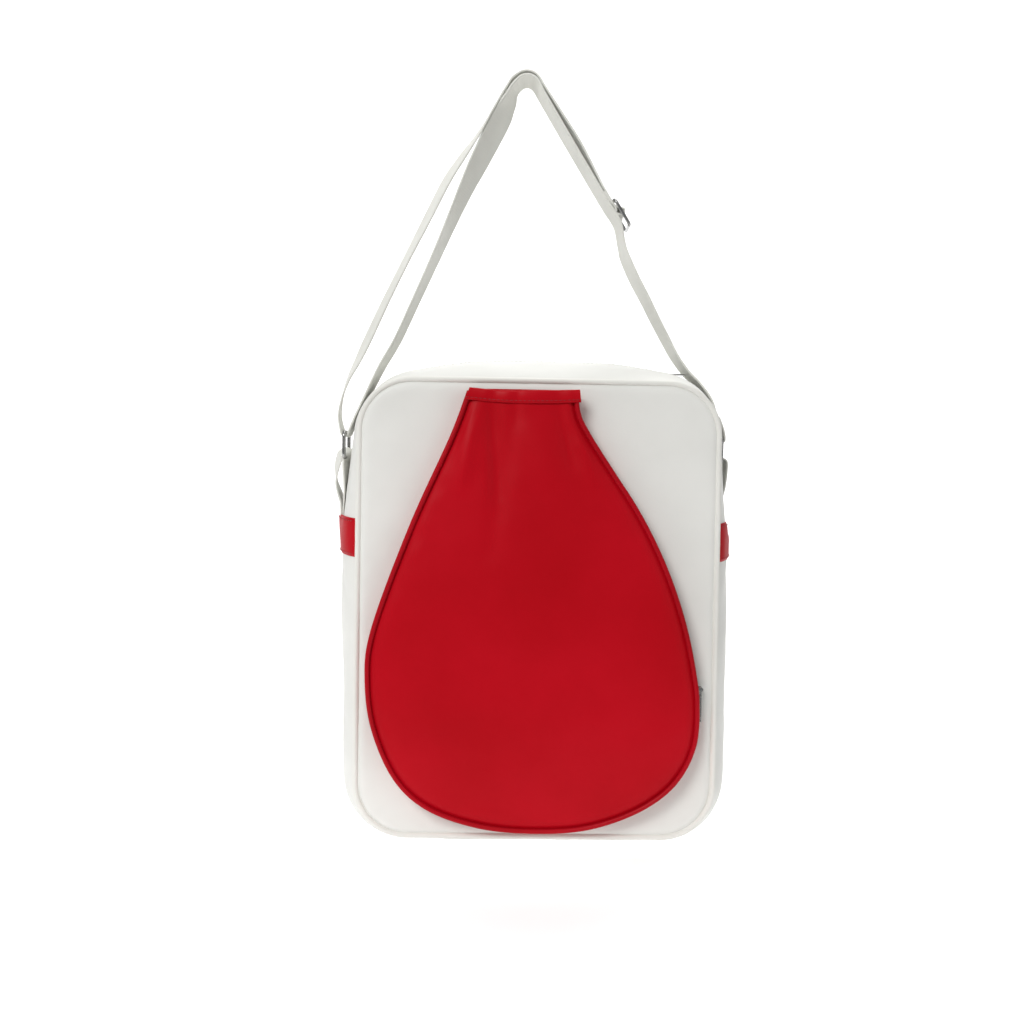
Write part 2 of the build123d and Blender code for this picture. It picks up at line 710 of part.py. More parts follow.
with BuildPart() as pocket_front:
    with BuildSketch(at_depth(POCKET_FRONT_Y - SEAM_GAP)):
        with BuildLine():
            left = pocket_left()
            arc = pocket_arc()
            neck = pocket_neck()
            Line(mouth_right, mouth_left)
        make_face()
        trace([left, arc, neck], line_width=2 * (POCKET_PIPING_R + SEAM_GAP), mode=Mode.SUBTRACT)
    extrude(amount=POCKET_T)
save(pocket_front, "pocket_front")

with BuildPart() as pocket_wall:
    with BuildSketch(at_depth(POCKET_BACK_Y)):
        with BuildLine():
            left = pocket_left()
        trace(left, line_width=POCKET_T)
        with BuildLine():
            neck = pocket_neck()
        trace(neck, line_width=POCKET_T)
    extrude(amount=POCKET_DEPTH)
save(pocket_wall, "pocket_wall")

with BuildPart() as pocket_piping:
    with BuildSketch(at_depth(POCKET_FRONT_Y - SEAM_GAP)):
        with BuildLine():
            left = pocket_left()
            arc = pocket_arc()
            neck = pocket_neck()
        trace([left, arc, neck], line_width=2 * POCKET_PIPING_R)
        with Locations((0, COLLAR_LOW - SEAM_GAP + COLLAR_ROOM / 2)):
            Rectangle(BAG_WIDTH, COLLAR_ROOM, mode=Mode.SUBTRACT)
    extrude(amount=2 * POCKET_PIPING_R)
save(pocket_piping, "pocket_piping")

with BuildPart() as pocket_collar:
    with BuildSketch(at_depth(POCKET_FRONT_Y - 2 * SEAM_GAP - POCKET_T)):
        with BuildLine():
            low_left = (mouth_left[0] - 4.0, COLLAR_LOW)
            low_right = (mouth_right[0] + 5.0, COLLAR_LOW)
            top_right = (mouth_right[0] + 4.0, MOUTH_HEIGHT + 1.0)
            top_left = (mouth_left[0] - 1.5, MOUTH_HEIGHT + 1.0)
            Polyline(low_left, low_right, top_right, top_left, close=True)
        make_face()
    extrude(amount=BAND_T)
save(pocket_collar, "pocket_collar")

# The pocket's zip fills the wall along the arc: two tapes, two coils, a slider and a pull.
POCKET_MID_Y = POCKET_BACK_Y - POCKET_DEPTH / 2
TAPE_MARGIN = 0.3


def arc_ribbon(first_y, width, thickness):
    """A ribbon along the zipped arc, from depth first_y forwards."""
    with BuildSketch(at_depth(first_y)) as ribbon:
        with BuildLine():
            arc = pocket_arc(ZIP_START + TAPE_MARGIN, ZIP_END - TAPE_MARGIN)
        trace(arc, line_width=thickness)
    extrude(ribbon.sketch, amount=width)


tape_width = POCKET_DEPTH / 2 - COIL_OUT - SEAM_GAP
with BuildPart() as pocket_zip_tapes:
    arc_ribbon(POCKET_BACK_Y, tape_width, TAPE_T)
    arc_ribbon(POCKET_MID_Y - COIL_OUT - SEAM_GAP, tape_width, TAPE_T)
save(pocket_zip_tapes, "pocket_zip_tapes")

with BuildPart() as pocket_zip_coils:
    arc_ribbon(POCKET_MID_Y + COIL_OUT, COIL_OUT - COIL_IN, COIL_T)
    arc_ribbon(POCKET_MID_Y - COIL_IN, COIL_OUT - COIL_IN, COIL_T)
save(pocket_zip_coils, "pocket_zip_coils")

slider_turn = math.radians(POCKET_SLIDER_ANGLE)
slider_point = FRONT.from_local_coords((*arc_point(POCKET_SLIDER_ANGLE), -POCKET_MID_Y))
tangent = (-math.sin(slider_turn), 0, math.cos(slider_turn))
radial = (math.cos(slider_turn), 0, math.sin(slider_turn))
POCKET_PIN_LIFT = 4.6
pocket_slider_plane = Plane(origin=slider_point, x_dir=tangent, z_dir=radial)
pocket_slider = slider(pocket_slider_plane, ZIP_GAP, POCKET_PIN_LIFT)
save(pocket_slider, "pocket_slider")

pocket_pivot = FRONT.from_local_coords(
    (*arc_point(POCKET_SLIDER_ANGLE, POCKET_ARC_R + POCKET_PIN_LIFT), -POCKET_MID_Y)
)
POCKET_PULL_L = 26.0
pocket_pull = pull(pocket_pivot, (0, 0, -1), (0, 1, 0), POCKET_PULL_L)
save(pocket_pull, "pocket_pull")
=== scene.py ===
import json
import math

import bpy
import numpy as np
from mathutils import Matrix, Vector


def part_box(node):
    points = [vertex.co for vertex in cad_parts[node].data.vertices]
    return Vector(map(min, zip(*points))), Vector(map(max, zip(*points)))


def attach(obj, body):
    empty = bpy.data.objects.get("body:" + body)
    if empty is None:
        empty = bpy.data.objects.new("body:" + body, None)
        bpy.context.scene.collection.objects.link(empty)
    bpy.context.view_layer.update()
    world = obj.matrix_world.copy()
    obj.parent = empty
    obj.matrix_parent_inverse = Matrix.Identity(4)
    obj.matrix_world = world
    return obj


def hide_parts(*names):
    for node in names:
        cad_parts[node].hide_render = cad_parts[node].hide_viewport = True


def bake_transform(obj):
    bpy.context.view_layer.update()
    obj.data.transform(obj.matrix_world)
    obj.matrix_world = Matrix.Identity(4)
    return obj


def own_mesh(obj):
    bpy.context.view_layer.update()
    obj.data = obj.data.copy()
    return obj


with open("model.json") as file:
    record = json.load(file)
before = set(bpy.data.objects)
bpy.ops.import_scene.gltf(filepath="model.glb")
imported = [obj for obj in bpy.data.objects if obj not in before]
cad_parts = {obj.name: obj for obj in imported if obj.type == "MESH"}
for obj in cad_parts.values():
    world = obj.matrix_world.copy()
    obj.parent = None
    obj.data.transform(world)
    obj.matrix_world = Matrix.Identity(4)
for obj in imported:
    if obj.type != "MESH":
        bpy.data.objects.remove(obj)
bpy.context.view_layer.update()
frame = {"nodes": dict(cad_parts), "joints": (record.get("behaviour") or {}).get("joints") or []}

MM = 0.001

# ---- the bag's own frame: x from its middle, y depth, h above its base, all read from the CAD ----
panel_low, panel_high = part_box("front_panel")
piping_low, piping_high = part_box("front_piping")
MID_X = (panel_low.x + panel_high.x) / 2
BASE_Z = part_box("lower_gusset")[0].z
PIPING_R = (piping_high.y - piping_low.y) / 2
PIPING_Y = -(piping_high.y + piping_low.y) / 2
SEAM_LOW = piping_low.z + PIPING_R - BASE_Z
SEAM_HIGH = piping_high.z - PIPING_R - BASE_Z
SEAM_INSET = 3.4 * MM  # each seam lies this much further in than in the CAD, on both sides
SEAM_HALF = (piping_high.x - piping_low.x) / 2 - PIPING_R - SEAM_INSET
HALF_DEPTH = -panel_low.y
CORNER_R = 42 * MM
TAPER = 0.8 * MM  # each side leans in by this much from the middle to the top
SEAM_MID = (SEAM_LOW + SEAM_HIGH) / 2
SEAM_STEP = 2.4 * MM  # from one station of the seam to the next
GUSSET_HALF = PIPING_Y - 1.6 * MM
LEATHER_T = 1.2 * MM


def place(x, y, h):
    """Points of the bag's own frame, as the last axis of one array, in the row frame."""
    x, y, h = np.broadcast_arrays(np.asarray(x, float), y, h)
    return np.stack((MID_X + x, y, BASE_Z + h), axis=-1)


def smoothstep(value, low, high):
    share = np.clip((value - low) / (high - low), 0, 1)
    return share * share * (3 - 2 * share)


def ripple(x, y, seed, wavelength):
    """Gentle random waves, about one unit high, the same on every run."""
    draw = np.random.default_rng(seed)
    total = 0
    for _ in range(7):
        turn, phase = draw.uniform(0, 2 * math.pi, 2)
        reach = draw.uniform(0.6, 1.7) * 2 * math.pi / wavelength
        total = total + np.sin(reach * (x * math.cos(turn) + y * math.sin(turn)) + phase)
    return total / 3.5


def fold(x, h, start, end, width):
    """One along the line from start to end and fading to none beside and beyond it."""
    start, end = np.array(start) * MM, np.array(end) * MM
    run = end - start
    share = np.clip(((x - start[0]) * run[0] + (h - start[1]) * run[1]) / (run @ run), 0, 1)
    away = np.hypot(x - start[0] - share * run[0], h - start[1] - share * run[1])
    fade = np.sin(math.pi * (0.08 + 0.84 * share)) ** 0.7
    return fade * np.exp(-((away / (width * MM)) ** 2))


# ---- mesh helpers ----
def add_mesh(name, points, faces, material, uv=None):
    mesh = bpy.data.meshes.new(name)
    mesh.from_pydata([tuple(p) for p in points], [], faces)
    mesh.materials.append(material)
    mesh.polygons.foreach_set("use_smooth", [True] * len(mesh.polygons))
    if uv is not None:
        layer = mesh.uv_layers.new(name="UVMap")
        corners = np.empty(len(mesh.loops), np.int32)
        mesh.loops.foreach_get("vertex_index", corners)
        layer.data.foreach_set("uv", np.asarray(uv, np.float32)[corners].ravel())
    mesh.update()
    piece = bpy.data.objects.new(name, mesh)
    bpy.context.scene.collection.objects.link(piece)
    return piece


def grid_faces(rows, columns, wrap_rows=False, wrap_columns=False, first=0):
    faces = []
    for i in range(rows if wrap_rows else rows - 1):
        for j in range(columns if wrap_columns else columns - 1):
            a, b = i * columns, (i + 1) % rows * columns
            k = (j + 1) % columns
            faces.append((first + a + j, first + a + k, first + b + k, first + b + j))
    return faces


def bake(piece):
    """Applies the piece's modifiers to its mesh."""
    shaped = piece.evaluated_get(bpy.context.evaluated_depsgraph_get())
    mesh = bpy.data.meshes.new_from_object(shaped)
    piece.modifiers.clear()
    piece.data = mesh


def skin(name, points, material, outward, thickness=LEATHER_T):
    """A sheet through a grid of points, thickened away from the side that outward faces."""
    rows, columns = points.shape[:2]
    faces = grid_faces(rows, columns)
    i, j = rows // 2, columns // 2
    across, along = points[i, j + 1] - points[i, j], points[i + 1, j] - points[i, j]
    if np.dot(np.cross(across, along), outward) < 0:
        faces = [face[::-1] for face in faces]
    piece = add_mesh(name, points.reshape(-1, 3), faces, material)
    solidify = piece.modifiers.new("thickness", "SOLIDIFY")
    solidify.thickness = thickness
    solidify.offset = -1
    bpy.context.view_layer.update()
    bake(piece)
    piece.data.set_sharp_from_angle(angle=math.radians(50))
    return piece


def frames(path, closed):
    """Two axes across a path, at each of its points, that don't spin along it."""
    ahead = np.roll(path, -1, 0) - np.roll(path, 1, 0)
    if not closed:
        ahead[0], ahead[-1] = path[1] - path[0], path[-1] - path[-2]
    tangent = ahead / np.linalg.norm(ahead, axis=1)[:, None]
    side = np.empty_like(path)
    guess = np.array((0.0, 1.0, 0.0)) if abs(tangent[0][1]) < 0.8 else np.array((1.0, 0.0, 0.0))
    for i, t in enumerate(tangent):
        guess = guess - t * (guess @ t)
        guess = guess / np.linalg.norm(guess)
        side[i] = guess
    return side, np.cross(tangent, side)


def tube(name, path, radius, material, closed=False, sides=12, flatten=1.0):
    """A round cord along a path, closed on itself or with domed ends."""
    path = np.asarray(path, float)
    side, lift = frames(path, closed)
    radius = np.broadcast_to(np.asarray(radius, float), len(path)).copy()
    angles = np.linspace(0, 2 * math.pi, sides, endpoint=False)
    ring = np.cos(angles)[None, :, None] * side[:, None] * flatten
    ring = ring + np.sin(angles)[None, :, None] * lift[:, None]
    points = path[:, None] + radius[:, None, None] * ring
    faces = grid_faces(len(path), sides, closed, True)
    points = points.reshape(-1, 3)
    if not closed:
        last = len(points) - sides
        points = np.vstack((points, path[:1], path[-1:]))
        for j in range(sides):
            k = (j + 1) % sides
            faces.append((j, len(points) - 2, k))
            faces.append((last + j, last + k, len(points) - 1))
    return add_mesh(name, points, [face[::-1] for face in faces], material)


def resample(path, step):
    """The path again, with points evenly spaced along it."""
    path = np.asarray(path, float)
    run = np.concatenate(([0], np.cumsum(np.linalg.norm(np.diff(path, axis=0), axis=1))))
    count = max(2, int(round(run[-1] / step)) + 1)
    at = np.linspace(0, run[-1], count)
    return np.stack([np.interp(at, run, path[:, k]) for k in range(path.shape[1])], axis=1)


def smooth_path(points, step):
    """A smooth curve through points, evenly resampled."""
    points = np.asarray(points, float)
    padded = np.vstack((2 * points[0] - points[1], points, 2 * points[-1] - points[-2]))
    share = np.linspace(0, 1, 24, endpoint=False)[:, None]
    curve = []
    for before, start, end, after in zip(padded, padded[1:], padded[2:], padded[3:]):
        gaps = [max(np.linalg.norm(q - p), 1e-9) ** 0.5 for p, q in
                ((before, start), (start, end), (end, after))]
        into, through, onward = (start - before) / gaps[0], (end - start) / gaps[1], (after - end) / gaps[2]
        leave = into - (end - before) / (gaps[0] + gaps[1]) + through
        reach = through - (after - start) / (gaps[1] + gaps[2]) + onward
        leave, reach = leave * gaps[1], reach * gaps[1]
        s2, s3 = share**2, share**3
        curve.append((2 * s3 - 3 * s2 + 1) * start + (s3 - 2 * s2 + share) * leave
                     + (3 * s2 - 2 * s3) * end + (s3 - s2) * reach)
    curve.append(points[-1:])
    return resample(np.vstack(curve), step)


def stitches(name, path, material, length=2.6 * MM, gap=1.1 * MM, radius=0.28 * MM):
    """A row of thread stitches lying along a path."""
    step, sides = 0.5 * MM, 6
    fine = resample(path, step)
    per_stitch = int(round((length + gap) / step))
    per_thread = int(round(length / step))
    angles = np.linspace(0, 2 * math.pi, sides, endpoint=False)
    points, faces = [], []
    for start in range(0, len(fine) - per_stitch, per_stitch):
        run = fine[start:start + per_thread + 1]
        side, lift = frames(run, False)
        swell = radius * np.sin(math.pi * np.linspace(0.12, 0.88, len(run))) ** 0.5
        ring = np.cos(angles)[None, :, None] * side[:, None]
        ring = ring + np.sin(angles)[None, :, None] * lift[:, None]
        faces += [face[::-1] for face in grid_faces(len(run), sides, False, True, len(points))]
        faces.append(tuple(len(points) + j for j in range(sides)))
        faces.append(tuple(len(points) + sides * len(run) - 1 - j for j in range(sides)))
        points.extend((run[:, None] + swell[:, None, None] * ring).reshape(-1, 3))
    return add_mesh(name, points, faces, material)


def assign(piece, slot, body, *nodes):
    """Hangs a piece on the body it rides and hides the CAD nodes it stands for. The slot is not used."""
    if nodes:
        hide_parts(*nodes)
    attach(piece, body)


def dress(node, material):
    """Gives a CAD node its material."""
    piece = frame["nodes"][node]
    piece.data.materials.clear()
    piece.data.materials.append(material)
    return piece


# ---- materials ----
def new_material(name, colour, roughness, **inputs):
    material = bpy.data.materials.new(name)
    material.use_nodes = True
    shader = material.node_tree.nodes["Principled BSDF"]
    shader.inputs["Base Color"].default_value = (*colour, 1)
    shader.inputs["Roughness"].default_value = roughness
    for key, value in inputs.items():
        shader.inputs[key.replace("_", " ")].default_value = value
    return material, material.node_tree.nodes, material.node_tree.links, shader


def texture(nodes, links, kind, coordinates, **values):
    node = nodes.new(kind)
    links.new(coordinates, node.inputs["Vector"])
    for key, value in values.items():
        if key == "bands_direction":
            node.bands_direction = value
        else:
            node.inputs[key.capitalize()].default_value = value
    return node


def tint(nodes, links, factor, low, high, shader):
    """Base colour between two shades, by a factor."""
    ramp = nodes.new("ShaderNodeValToRGB")
    ramp.color_ramp.elements[0].position = 0.3
    ramp.color_ramp.elements[1].position = 0.7
    ramp.color_ramp.elements[0].color = (*low, 1)
    ramp.color_ramp.elements[1].color = (*high, 1)
    links.new(factor, ramp.inputs["Fac"])
    links.new(ramp.outputs["Color"], shader.inputs["Base Color"])


def uneven(nodes, links, factor, low, high, shader):
    """Roughness between two values, by a factor."""
    node = nodes.new("ShaderNodeMapRange")
    node.inputs["To Min"].default_value = low
    node.inputs["To Max"].default_value = high
    links.new(factor, node.inputs["Value"])
    links.new(node.outputs["Result"], shader.inputs["Roughness"])


def bumps(nodes, links, shader, layers):
    """Bump layers, each a height, a strength and a depth in metres."""
    below = None
    for height, strength, depth in layers:
        bump = nodes.new("ShaderNodeBump")
        bump.inputs["Strength"].default_value = strength
        bump.inputs["Distance"].default_value = depth
        links.new(height, bump.inputs["Height"])
        if below is not None:
            links.new(below, bump.inputs["Normal"])
        below = bump.outputs["Normal"]
    links.new(below, shader.inputs["Normal"])


def leather(name, low, high, roughness, grain=1100, gloss=0.3):
    """Coated synthetic leather: pebbled grain, fine pores, soft dents and uneven gloss."""
    material, nodes, links, shader = new_material(name, high, roughness)
    shader.inputs["Specular IOR Level"].default_value = gloss
    spot = nodes.new("ShaderNodeTexCoord").outputs["Object"]
    pebble = texture(nodes, links, "ShaderNodeTexVoronoi", spot, scale=grain, randomness=1.0)
    pore = texture(nodes, links, "ShaderNodeTexNoise", spot, scale=grain * 2.3, detail=3.0)
    dent = texture(nodes, links, "ShaderNodeTexNoise", spot, scale=26.0, detail=3.0)
    shade = texture(nodes, links, "ShaderNodeTexNoise", spot, scale=9.0, detail=4.0)
    tint(nodes, links, shade.outputs["Fac"], low, high, shader)
    uneven(nodes, links, pore.outputs["Fac"], roughness - 0.07, roughness + 0.09, shader)
    bumps(nodes, links, shader, (
        (dent.outputs["Fac"], 0.35, 0.8 * MM),
        (pebble.outputs["Distance"], 0.30, 0.12 * MM),
        (pore.outputs["Fac"], 0.22, 0.06 * MM)))
    return material


def webbing(name, low, high, rib=900, roughness=0.72):
    """Woven tape: ribs across its length, a finer crossing thread and fuzz."""
    material, nodes, links, shader = new_material(name, high, roughness)
    shader.inputs["Sheen Weight"].default_value = 0.15
    shader.inputs["Specular IOR Level"].default_value = 0.3
    spot = nodes.new("ShaderNodeTexCoord").outputs["UV"]
    ribs = texture(nodes, links, "ShaderNodeTexWave", spot, scale=rib / 6.2, distortion=0.6,
                   detail=1.0, bands_direction="X")
    warp = texture(nodes, links, "ShaderNodeTexWave", spot, scale=rib / 4.0, distortion=0.4,
                   detail=1.0, bands_direction="Y")
    solid = nodes.new("ShaderNodeTexCoord").outputs["Object"]
    fuzz = texture(nodes, links, "ShaderNodeTexNoise", solid, scale=1600.0, detail=4.0)
    shade = texture(nodes, links, "ShaderNodeTexNoise", solid, scale=22.0, detail=3.0)
    tint(nodes, links, shade.outputs["Fac"], low, high, shader)
    uneven(nodes, links, fuzz.outputs["Fac"], roughness - 0.08, roughness + 0.1, shader)
    bumps(nodes, links, shader, (
        (ribs.outputs["Fac"], 0.35, 0.2 * MM),
        (warp.outputs["Fac"], 0.22, 0.12 * MM),
        (fuzz.outputs["Fac"], 0.25, 0.08 * MM)))
    return material


def cloth(name, low, high, weave=1500, roughness=0.8):
    """Plain woven cloth, by its place, for zip tapes and linings."""
    material, nodes, links, shader = new_material(name, high, roughness)
    shader.inputs["Sheen Weight"].default_value = 0.2
    spot = nodes.new("ShaderNodeTexCoord").outputs["Object"]
    across = texture(nodes, links, "ShaderNodeTexWave", spot, scale=weave / 6.2, distortion=0.5,
                     bands_direction="X")
    along = texture(nodes, links, "ShaderNodeTexWave", spot, scale=weave / 6.2, distortion=0.5,
                    bands_direction="Z")
    shade = texture(nodes, links, "ShaderNodeTexNoise", spot, scale=40.0, detail=4.0)
    tint(nodes, links, shade.outputs["Fac"], low, high, shader)
    uneven(nodes, links, shade.outputs["Fac"], roughness - 0.08, roughness + 0.08, shader)
    bumps(nodes, links, shader, (
        (across.outputs["Fac"], 0.3, 0.12 * MM), (along.outputs["Fac"], 0.3, 0.12 * MM)))
    return material


def plated(name, low, high, roughness):
    """Polished plated metal with rubbed patches and hairline scratches."""
    material, nodes, links, shader = new_material(name, high, roughness, Metallic=1.0)
    spot = nodes.new("ShaderNodeTexCoord").outputs["Object"]
    wear = texture(nodes, links, "ShaderNodeTexNoise", spot, scale=160.0, detail=5.0)
    scratch = texture(nodes, links, "ShaderNodeTexNoise", spot, scale=1400.0, detail=2.0)
    tint(nodes, links, wear.outputs["Fac"], low, high, shader)
    uneven(nodes, links, wear.outputs["Fac"], roughness - 0.06, roughness + 0.12, shader)
    bumps(nodes, links, shader, ((scratch.outputs["Fac"], 0.12, 0.05 * MM),))
    return material


def moulded(name, low, high, roughness):
    """Moulded nylon or board, slightly mottled."""
    material, nodes, links, shader = new_material(name, high, roughness)
    spot = nodes.new("ShaderNodeTexCoord").outputs["Object"]
    mottle = texture(nodes, links, "ShaderNodeTexNoise", spot, scale=300.0, detail=4.0)
    tint(nodes, links, mottle.outputs["Fac"], low, high, shader)
    uneven(nodes, links, mottle.outputs["Fac"], roughness - 0.06, roughness + 0.08, shader)
    bumps(nodes, links, shader, ((mottle.outputs["Fac"], 0.2, 0.08 * MM),))
    return material


WHITE = leather("white_coated_leather", (0.70, 0.70, 0.665), (0.78, 0.78, 0.745), 0.46)
WHITE_EDGE = leather("white_piping_leather", (0.72, 0.715, 0.67), (0.79, 0.785, 0.74), 0.42, grain=1500)
RED = leather("red_coated_leather", (0.40, 0.001, 0.006), (0.47, 0.002, 0.010), 0.40,
              grain=1000, gloss=0.09)
RED_EDGE = leather("red_piping_leather", (0.33, 0.001, 0.006), (0.42, 0.002, 0.010), 0.38,
                   grain=1500, gloss=0.12)
STRAP = webbing("white_webbing", (0.66, 0.66, 0.61), (0.74, 0.74, 0.69))
METAL = plated("plated_metal", (0.26, 0.26, 0.26), (0.44, 0.44, 0.43), 0.22)
LINING = cloth("grey_lining", (0.42, 0.42, 0.41), (0.50, 0.50, 0.49), 900)
FOAM = moulded("pale_foam", (0.62, 0.60, 0.55), (0.70, 0.68, 0.62), 0.85)
BOARD = moulded("dark_board", (0.05, 0.05, 0.05), (0.09, 0.09, 0.09), 0.6)
WHITE_TAPE = cloth("white_zip_cloth", (0.62, 0.62, 0.58), (0.72, 0.72, 0.68))
WHITE_COIL = moulded("white_zip_nylon", (0.58, 0.58, 0.55), (0.70, 0.70, 0.67), 0.38)
RED_TAPE = cloth("red_zip_cloth", (0.30, 0.003, 0.008), (0.40, 0.005, 0.012))
RED_COIL = moulded("red_zip_nylon", (0.28, 0.003, 0.008), (0.38, 0.005, 0.012), 0.38)
WHITE_THREAD = cloth("white_thread", (0.62, 0.62, 0.58), (0.76, 0.76, 0.72), 4000)
RED_THREAD = cloth("red_thread", (0.26, 0.002, 0.006), (0.38, 0.004, 0.012), 4000)

# ---- camera ----
CAMERA_TARGET_H = 260 * MM
CAMERA_DISTANCE = 1.0
CAMERA_AZIMUTH, CAMERA_ELEVATION, CAMERA_ROLL = -1.26, 3.17, 0.94
FOCAL_SHARE = 1.1596  # focal length over the picture's width
SENSOR = 36
CAMERA_SHIFT = (-0.0245, 0.0174)

camera_data = bpy.data.cameras.new("camera")
camera = bpy.data.objects.new("camera", camera_data)
bpy.context.scene.collection.objects.link(camera)
bpy.context.scene.camera = camera
camera_data.sensor_width = SENSOR
camera_data.lens = SENSOR * FOCAL_SHARE
camera_data.clip_start = 0.01
azimuth, elevation = math.radians(CAMERA_AZIMUTH), math.radians(CAMERA_ELEVATION)
away = np.array((math.sin(azimuth) * math.cos(elevation), -math.cos(azimuth) * math.cos(elevation),
                 math.sin(elevation)))
camera.location = place(0, 0, CAMERA_TARGET_H) + CAMERA_DISTANCE * away
camera.rotation_euler = Vector(-away).to_track_quat("-Z", "Y").to_euler()
camera.rotation_euler.rotate_axis("Z", math.radians(CAMERA_ROLL))
camera_data.shift_x, camera_data.shift_y = CAMERA_SHIFT


# ---- seam outline ----
def seam_outline():
    """Points and outward normals round the seam, from the middle of the base towards -X."""
    half, low, high, r = SEAM_HALF, SEAM_LOW, SEAM_HIGH, CORNER_R
    corners = (((-half + r, low + r), 270, 180), ((-half + r, high - r), 180, 90),
               ((half - r, high - r), 90, 0), ((half - r, low + r), 0, -90))
    points = [(0.0, low)]
    for centre, first, last in corners:
        for angle in np.radians(np.linspace(first, last, 40)):
            points.append((centre[0] + r * math.cos(angle), centre[1] + r * math.sin(angle)))
    points.append((0.0, low))
    points = resample(points, SEAM_STEP)[:-1]
    ahead = np.roll(points, -1, 0) - np.roll(points, 1, 0)
    ahead = ahead / np.linalg.norm(ahead, axis=1)[:, None]
    normals = np.stack((-ahead[:, 1], ahead[:, 0]), axis=1)
    lean = TAPER * (SEAM_MID - points[:, 1]) / (SEAM_HIGH - SEAM_MID)
    points[:, 0] += np.sign(points[:, 0]) * lean * np.clip(abs(points[:, 0]) / half, 0, 1)
    return points, normals


OUTLINE, NORMALS = seam_outline()
STATIONS = len(OUTLINE)


def station(x, h):
    """The number of the outline point nearest to a place in the bag's frame, in millimetres."""
    return int(np.argmin(np.hypot(OUTLINE[:, 0] - x * MM, OUTLINE[:, 1] - h * MM)))


def edge_distance(x, h):
    """How far inside the seam a point is."""
    across = abs(x) - (SEAM_HALF - CORNER_R)
    along = abs(h - SEAM_MID) - (SEAM_HIGH - SEAM_MID - CORNER_R)
    outside = np.hypot(np.maximum(across, 0), np.maximum(along, 0))
    return CORNER_R - outside - np.minimum(np.maximum(across, along), 0)


# ---- front and back covers: sheets that roll into the piping groove, full in the middle ----
ROLL_INSIDE = np.array((0, 1, 2.4, 4, 7, 11)) * MM
ROLL_RISE = np.array((0, 0.5, 1.0, 2.2, 2.7, 2.8)) * MM
COVER_COLUMNS = 96


def cover_grid(side, fullness, seed):
    """side is -1 for the front and 1 for the back."""
    inset = 1.0 * MM
    r = CORNER_R - inset
    turn = np.radians(np.linspace(90, 0, 14))
    low, high = SEAM_LOW + inset, SEAM_HIGH - inset
    foot = low + r - r * np.sin(turn)
    middle = np.linspace(low + r, high - r, 90)[1:-1]
    head = high - r + r * np.sin(turn[::-1])
    heights = np.concatenate((foot, middle, head))
    reach = np.concatenate((r * np.cos(turn), np.full(len(middle), r), r * np.cos(turn[::-1])))
    half = SEAM_HALF - CORNER_R + reach
    half = half + TAPER * (SEAM_MID - heights) / (SEAM_HIGH - SEAM_MID)
    spread = np.linspace(-1, 1, COVER_COLUMNS)
    share = 0.55 * np.sin(spread * math.pi / 2) + 0.45 * spread
    x = half[:, None] * share[None, :]
    h = np.broadcast_to(heights[:, None], x.shape)
    depth = edge_distance(x, h)
    rolled = PIPING_Y + np.interp(depth, ROLL_INSIDE, ROLL_RISE)
    full = fullness * (1 - np.exp(-np.maximum(depth - 5 * MM, 0) / (38 * MM)))
    inner = smoothstep(depth, 3 * MM, 22 * MM)
    waves = inner * (0.26 * ripple(x, h, seed, 0.14) + 0.08 * ripple(x, h, seed + 1, 0.05) - 0.2) * MM
    pucker = 0.16 * MM * np.exp(-((depth - 8 * MM) / (6 * MM)) ** 2) * ripple(x, h, seed + 2, 0.022)
    return x, side * (rolled + full + waves + pucker), h


front_x, front_y, front_h = cover_grid(-1, 0.0, 11)
front_cover = skin("front_cover", place(front_x, front_y, front_h), WHITE, (0, -1, 0))
back_x, back_y, back_h = cover_grid(1, 2.4 * MM, 23)
back_cover = skin("back_cover", place(back_x, back_y, back_h), WHITE, (0, 1, 0))
for cover, node in ((front_cover, "front_panel"), (back_cover, "back_panel")):
    assign(cover, "white_leather", "bag", node)

# ---- piping ----
for side, name in ((-1, "front_piping"), (1, "back_piping")):
    wander = 0.15 * MM * ripple(OUTLINE[:, 0], OUTLINE[:, 1], 31 + side, 0.05)
    line = place(OUTLINE[:, 0], side * PIPING_Y + wander, OUTLINE[:, 1])
    swell = PIPING_R * (1 + 0.03 * ripple(OUTLINE[:, 0], OUTLINE[:, 1], 35 + side, 0.02))
    cord = tube(name + "_cord", line, swell, WHITE_EDGE, closed=True, sides=16)
    assign(cord, "white_leather", "bag", name)

# ---- gusset ----
# Places near the seam, from the middle of the base towards -X, with the gusset's crown there.
CROWN_KEYS = (
    ((0, 12), 12.4), ((-106, 12), 12.2), ((-145, 60), 14.8), ((-145, 135), 15.8), ((-145, 215), 18.0),
    ((-145, 241), 18.4), ((-145, 258), 18.6), ((-145, 272), 17.0), ((-145, 290), 14.6),
    ((-145, 318), 11.4), ((-145, 342), 8.2), ((-132, 370), 6.4),
    ((-104, 381), 10.6), ((-60, 381), 17.4), ((0, 381), 19.4), ((55, 381), 17.8), ((98, 381), 12.6),
    ((132, 370), 8.0), ((145, 342), 6.2), ((145, 318), 8.0), ((145, 285), 11.0), ((145, 256), 14.6),
    ((145, 215), 15.2), ((145, 60), 15.0), ((106, 12), 12.2))
RING_DENT, RING_DENT_HALF = 8.0 * MM, 19 * MM  # the dent behind the right ring and tab


def crowns():
    """How far the middle of the gusset stands out from the seam at each station."""
    at = [station(*spot) for spot, _ in CROWN_KEYS]
    values = [crown * MM for _, crown in CROWN_KEYS]
    order = np.argsort(at)
    crown = np.interp(np.arange(STATIONS), np.array(at)[order], np.array(values)[order], period=STATIONS)
    for _ in range(12):
        crown = (np.roll(crown, 1) + 2 * crown + np.roll(crown, -1)) / 4
    return crown


CROWN = crowns()


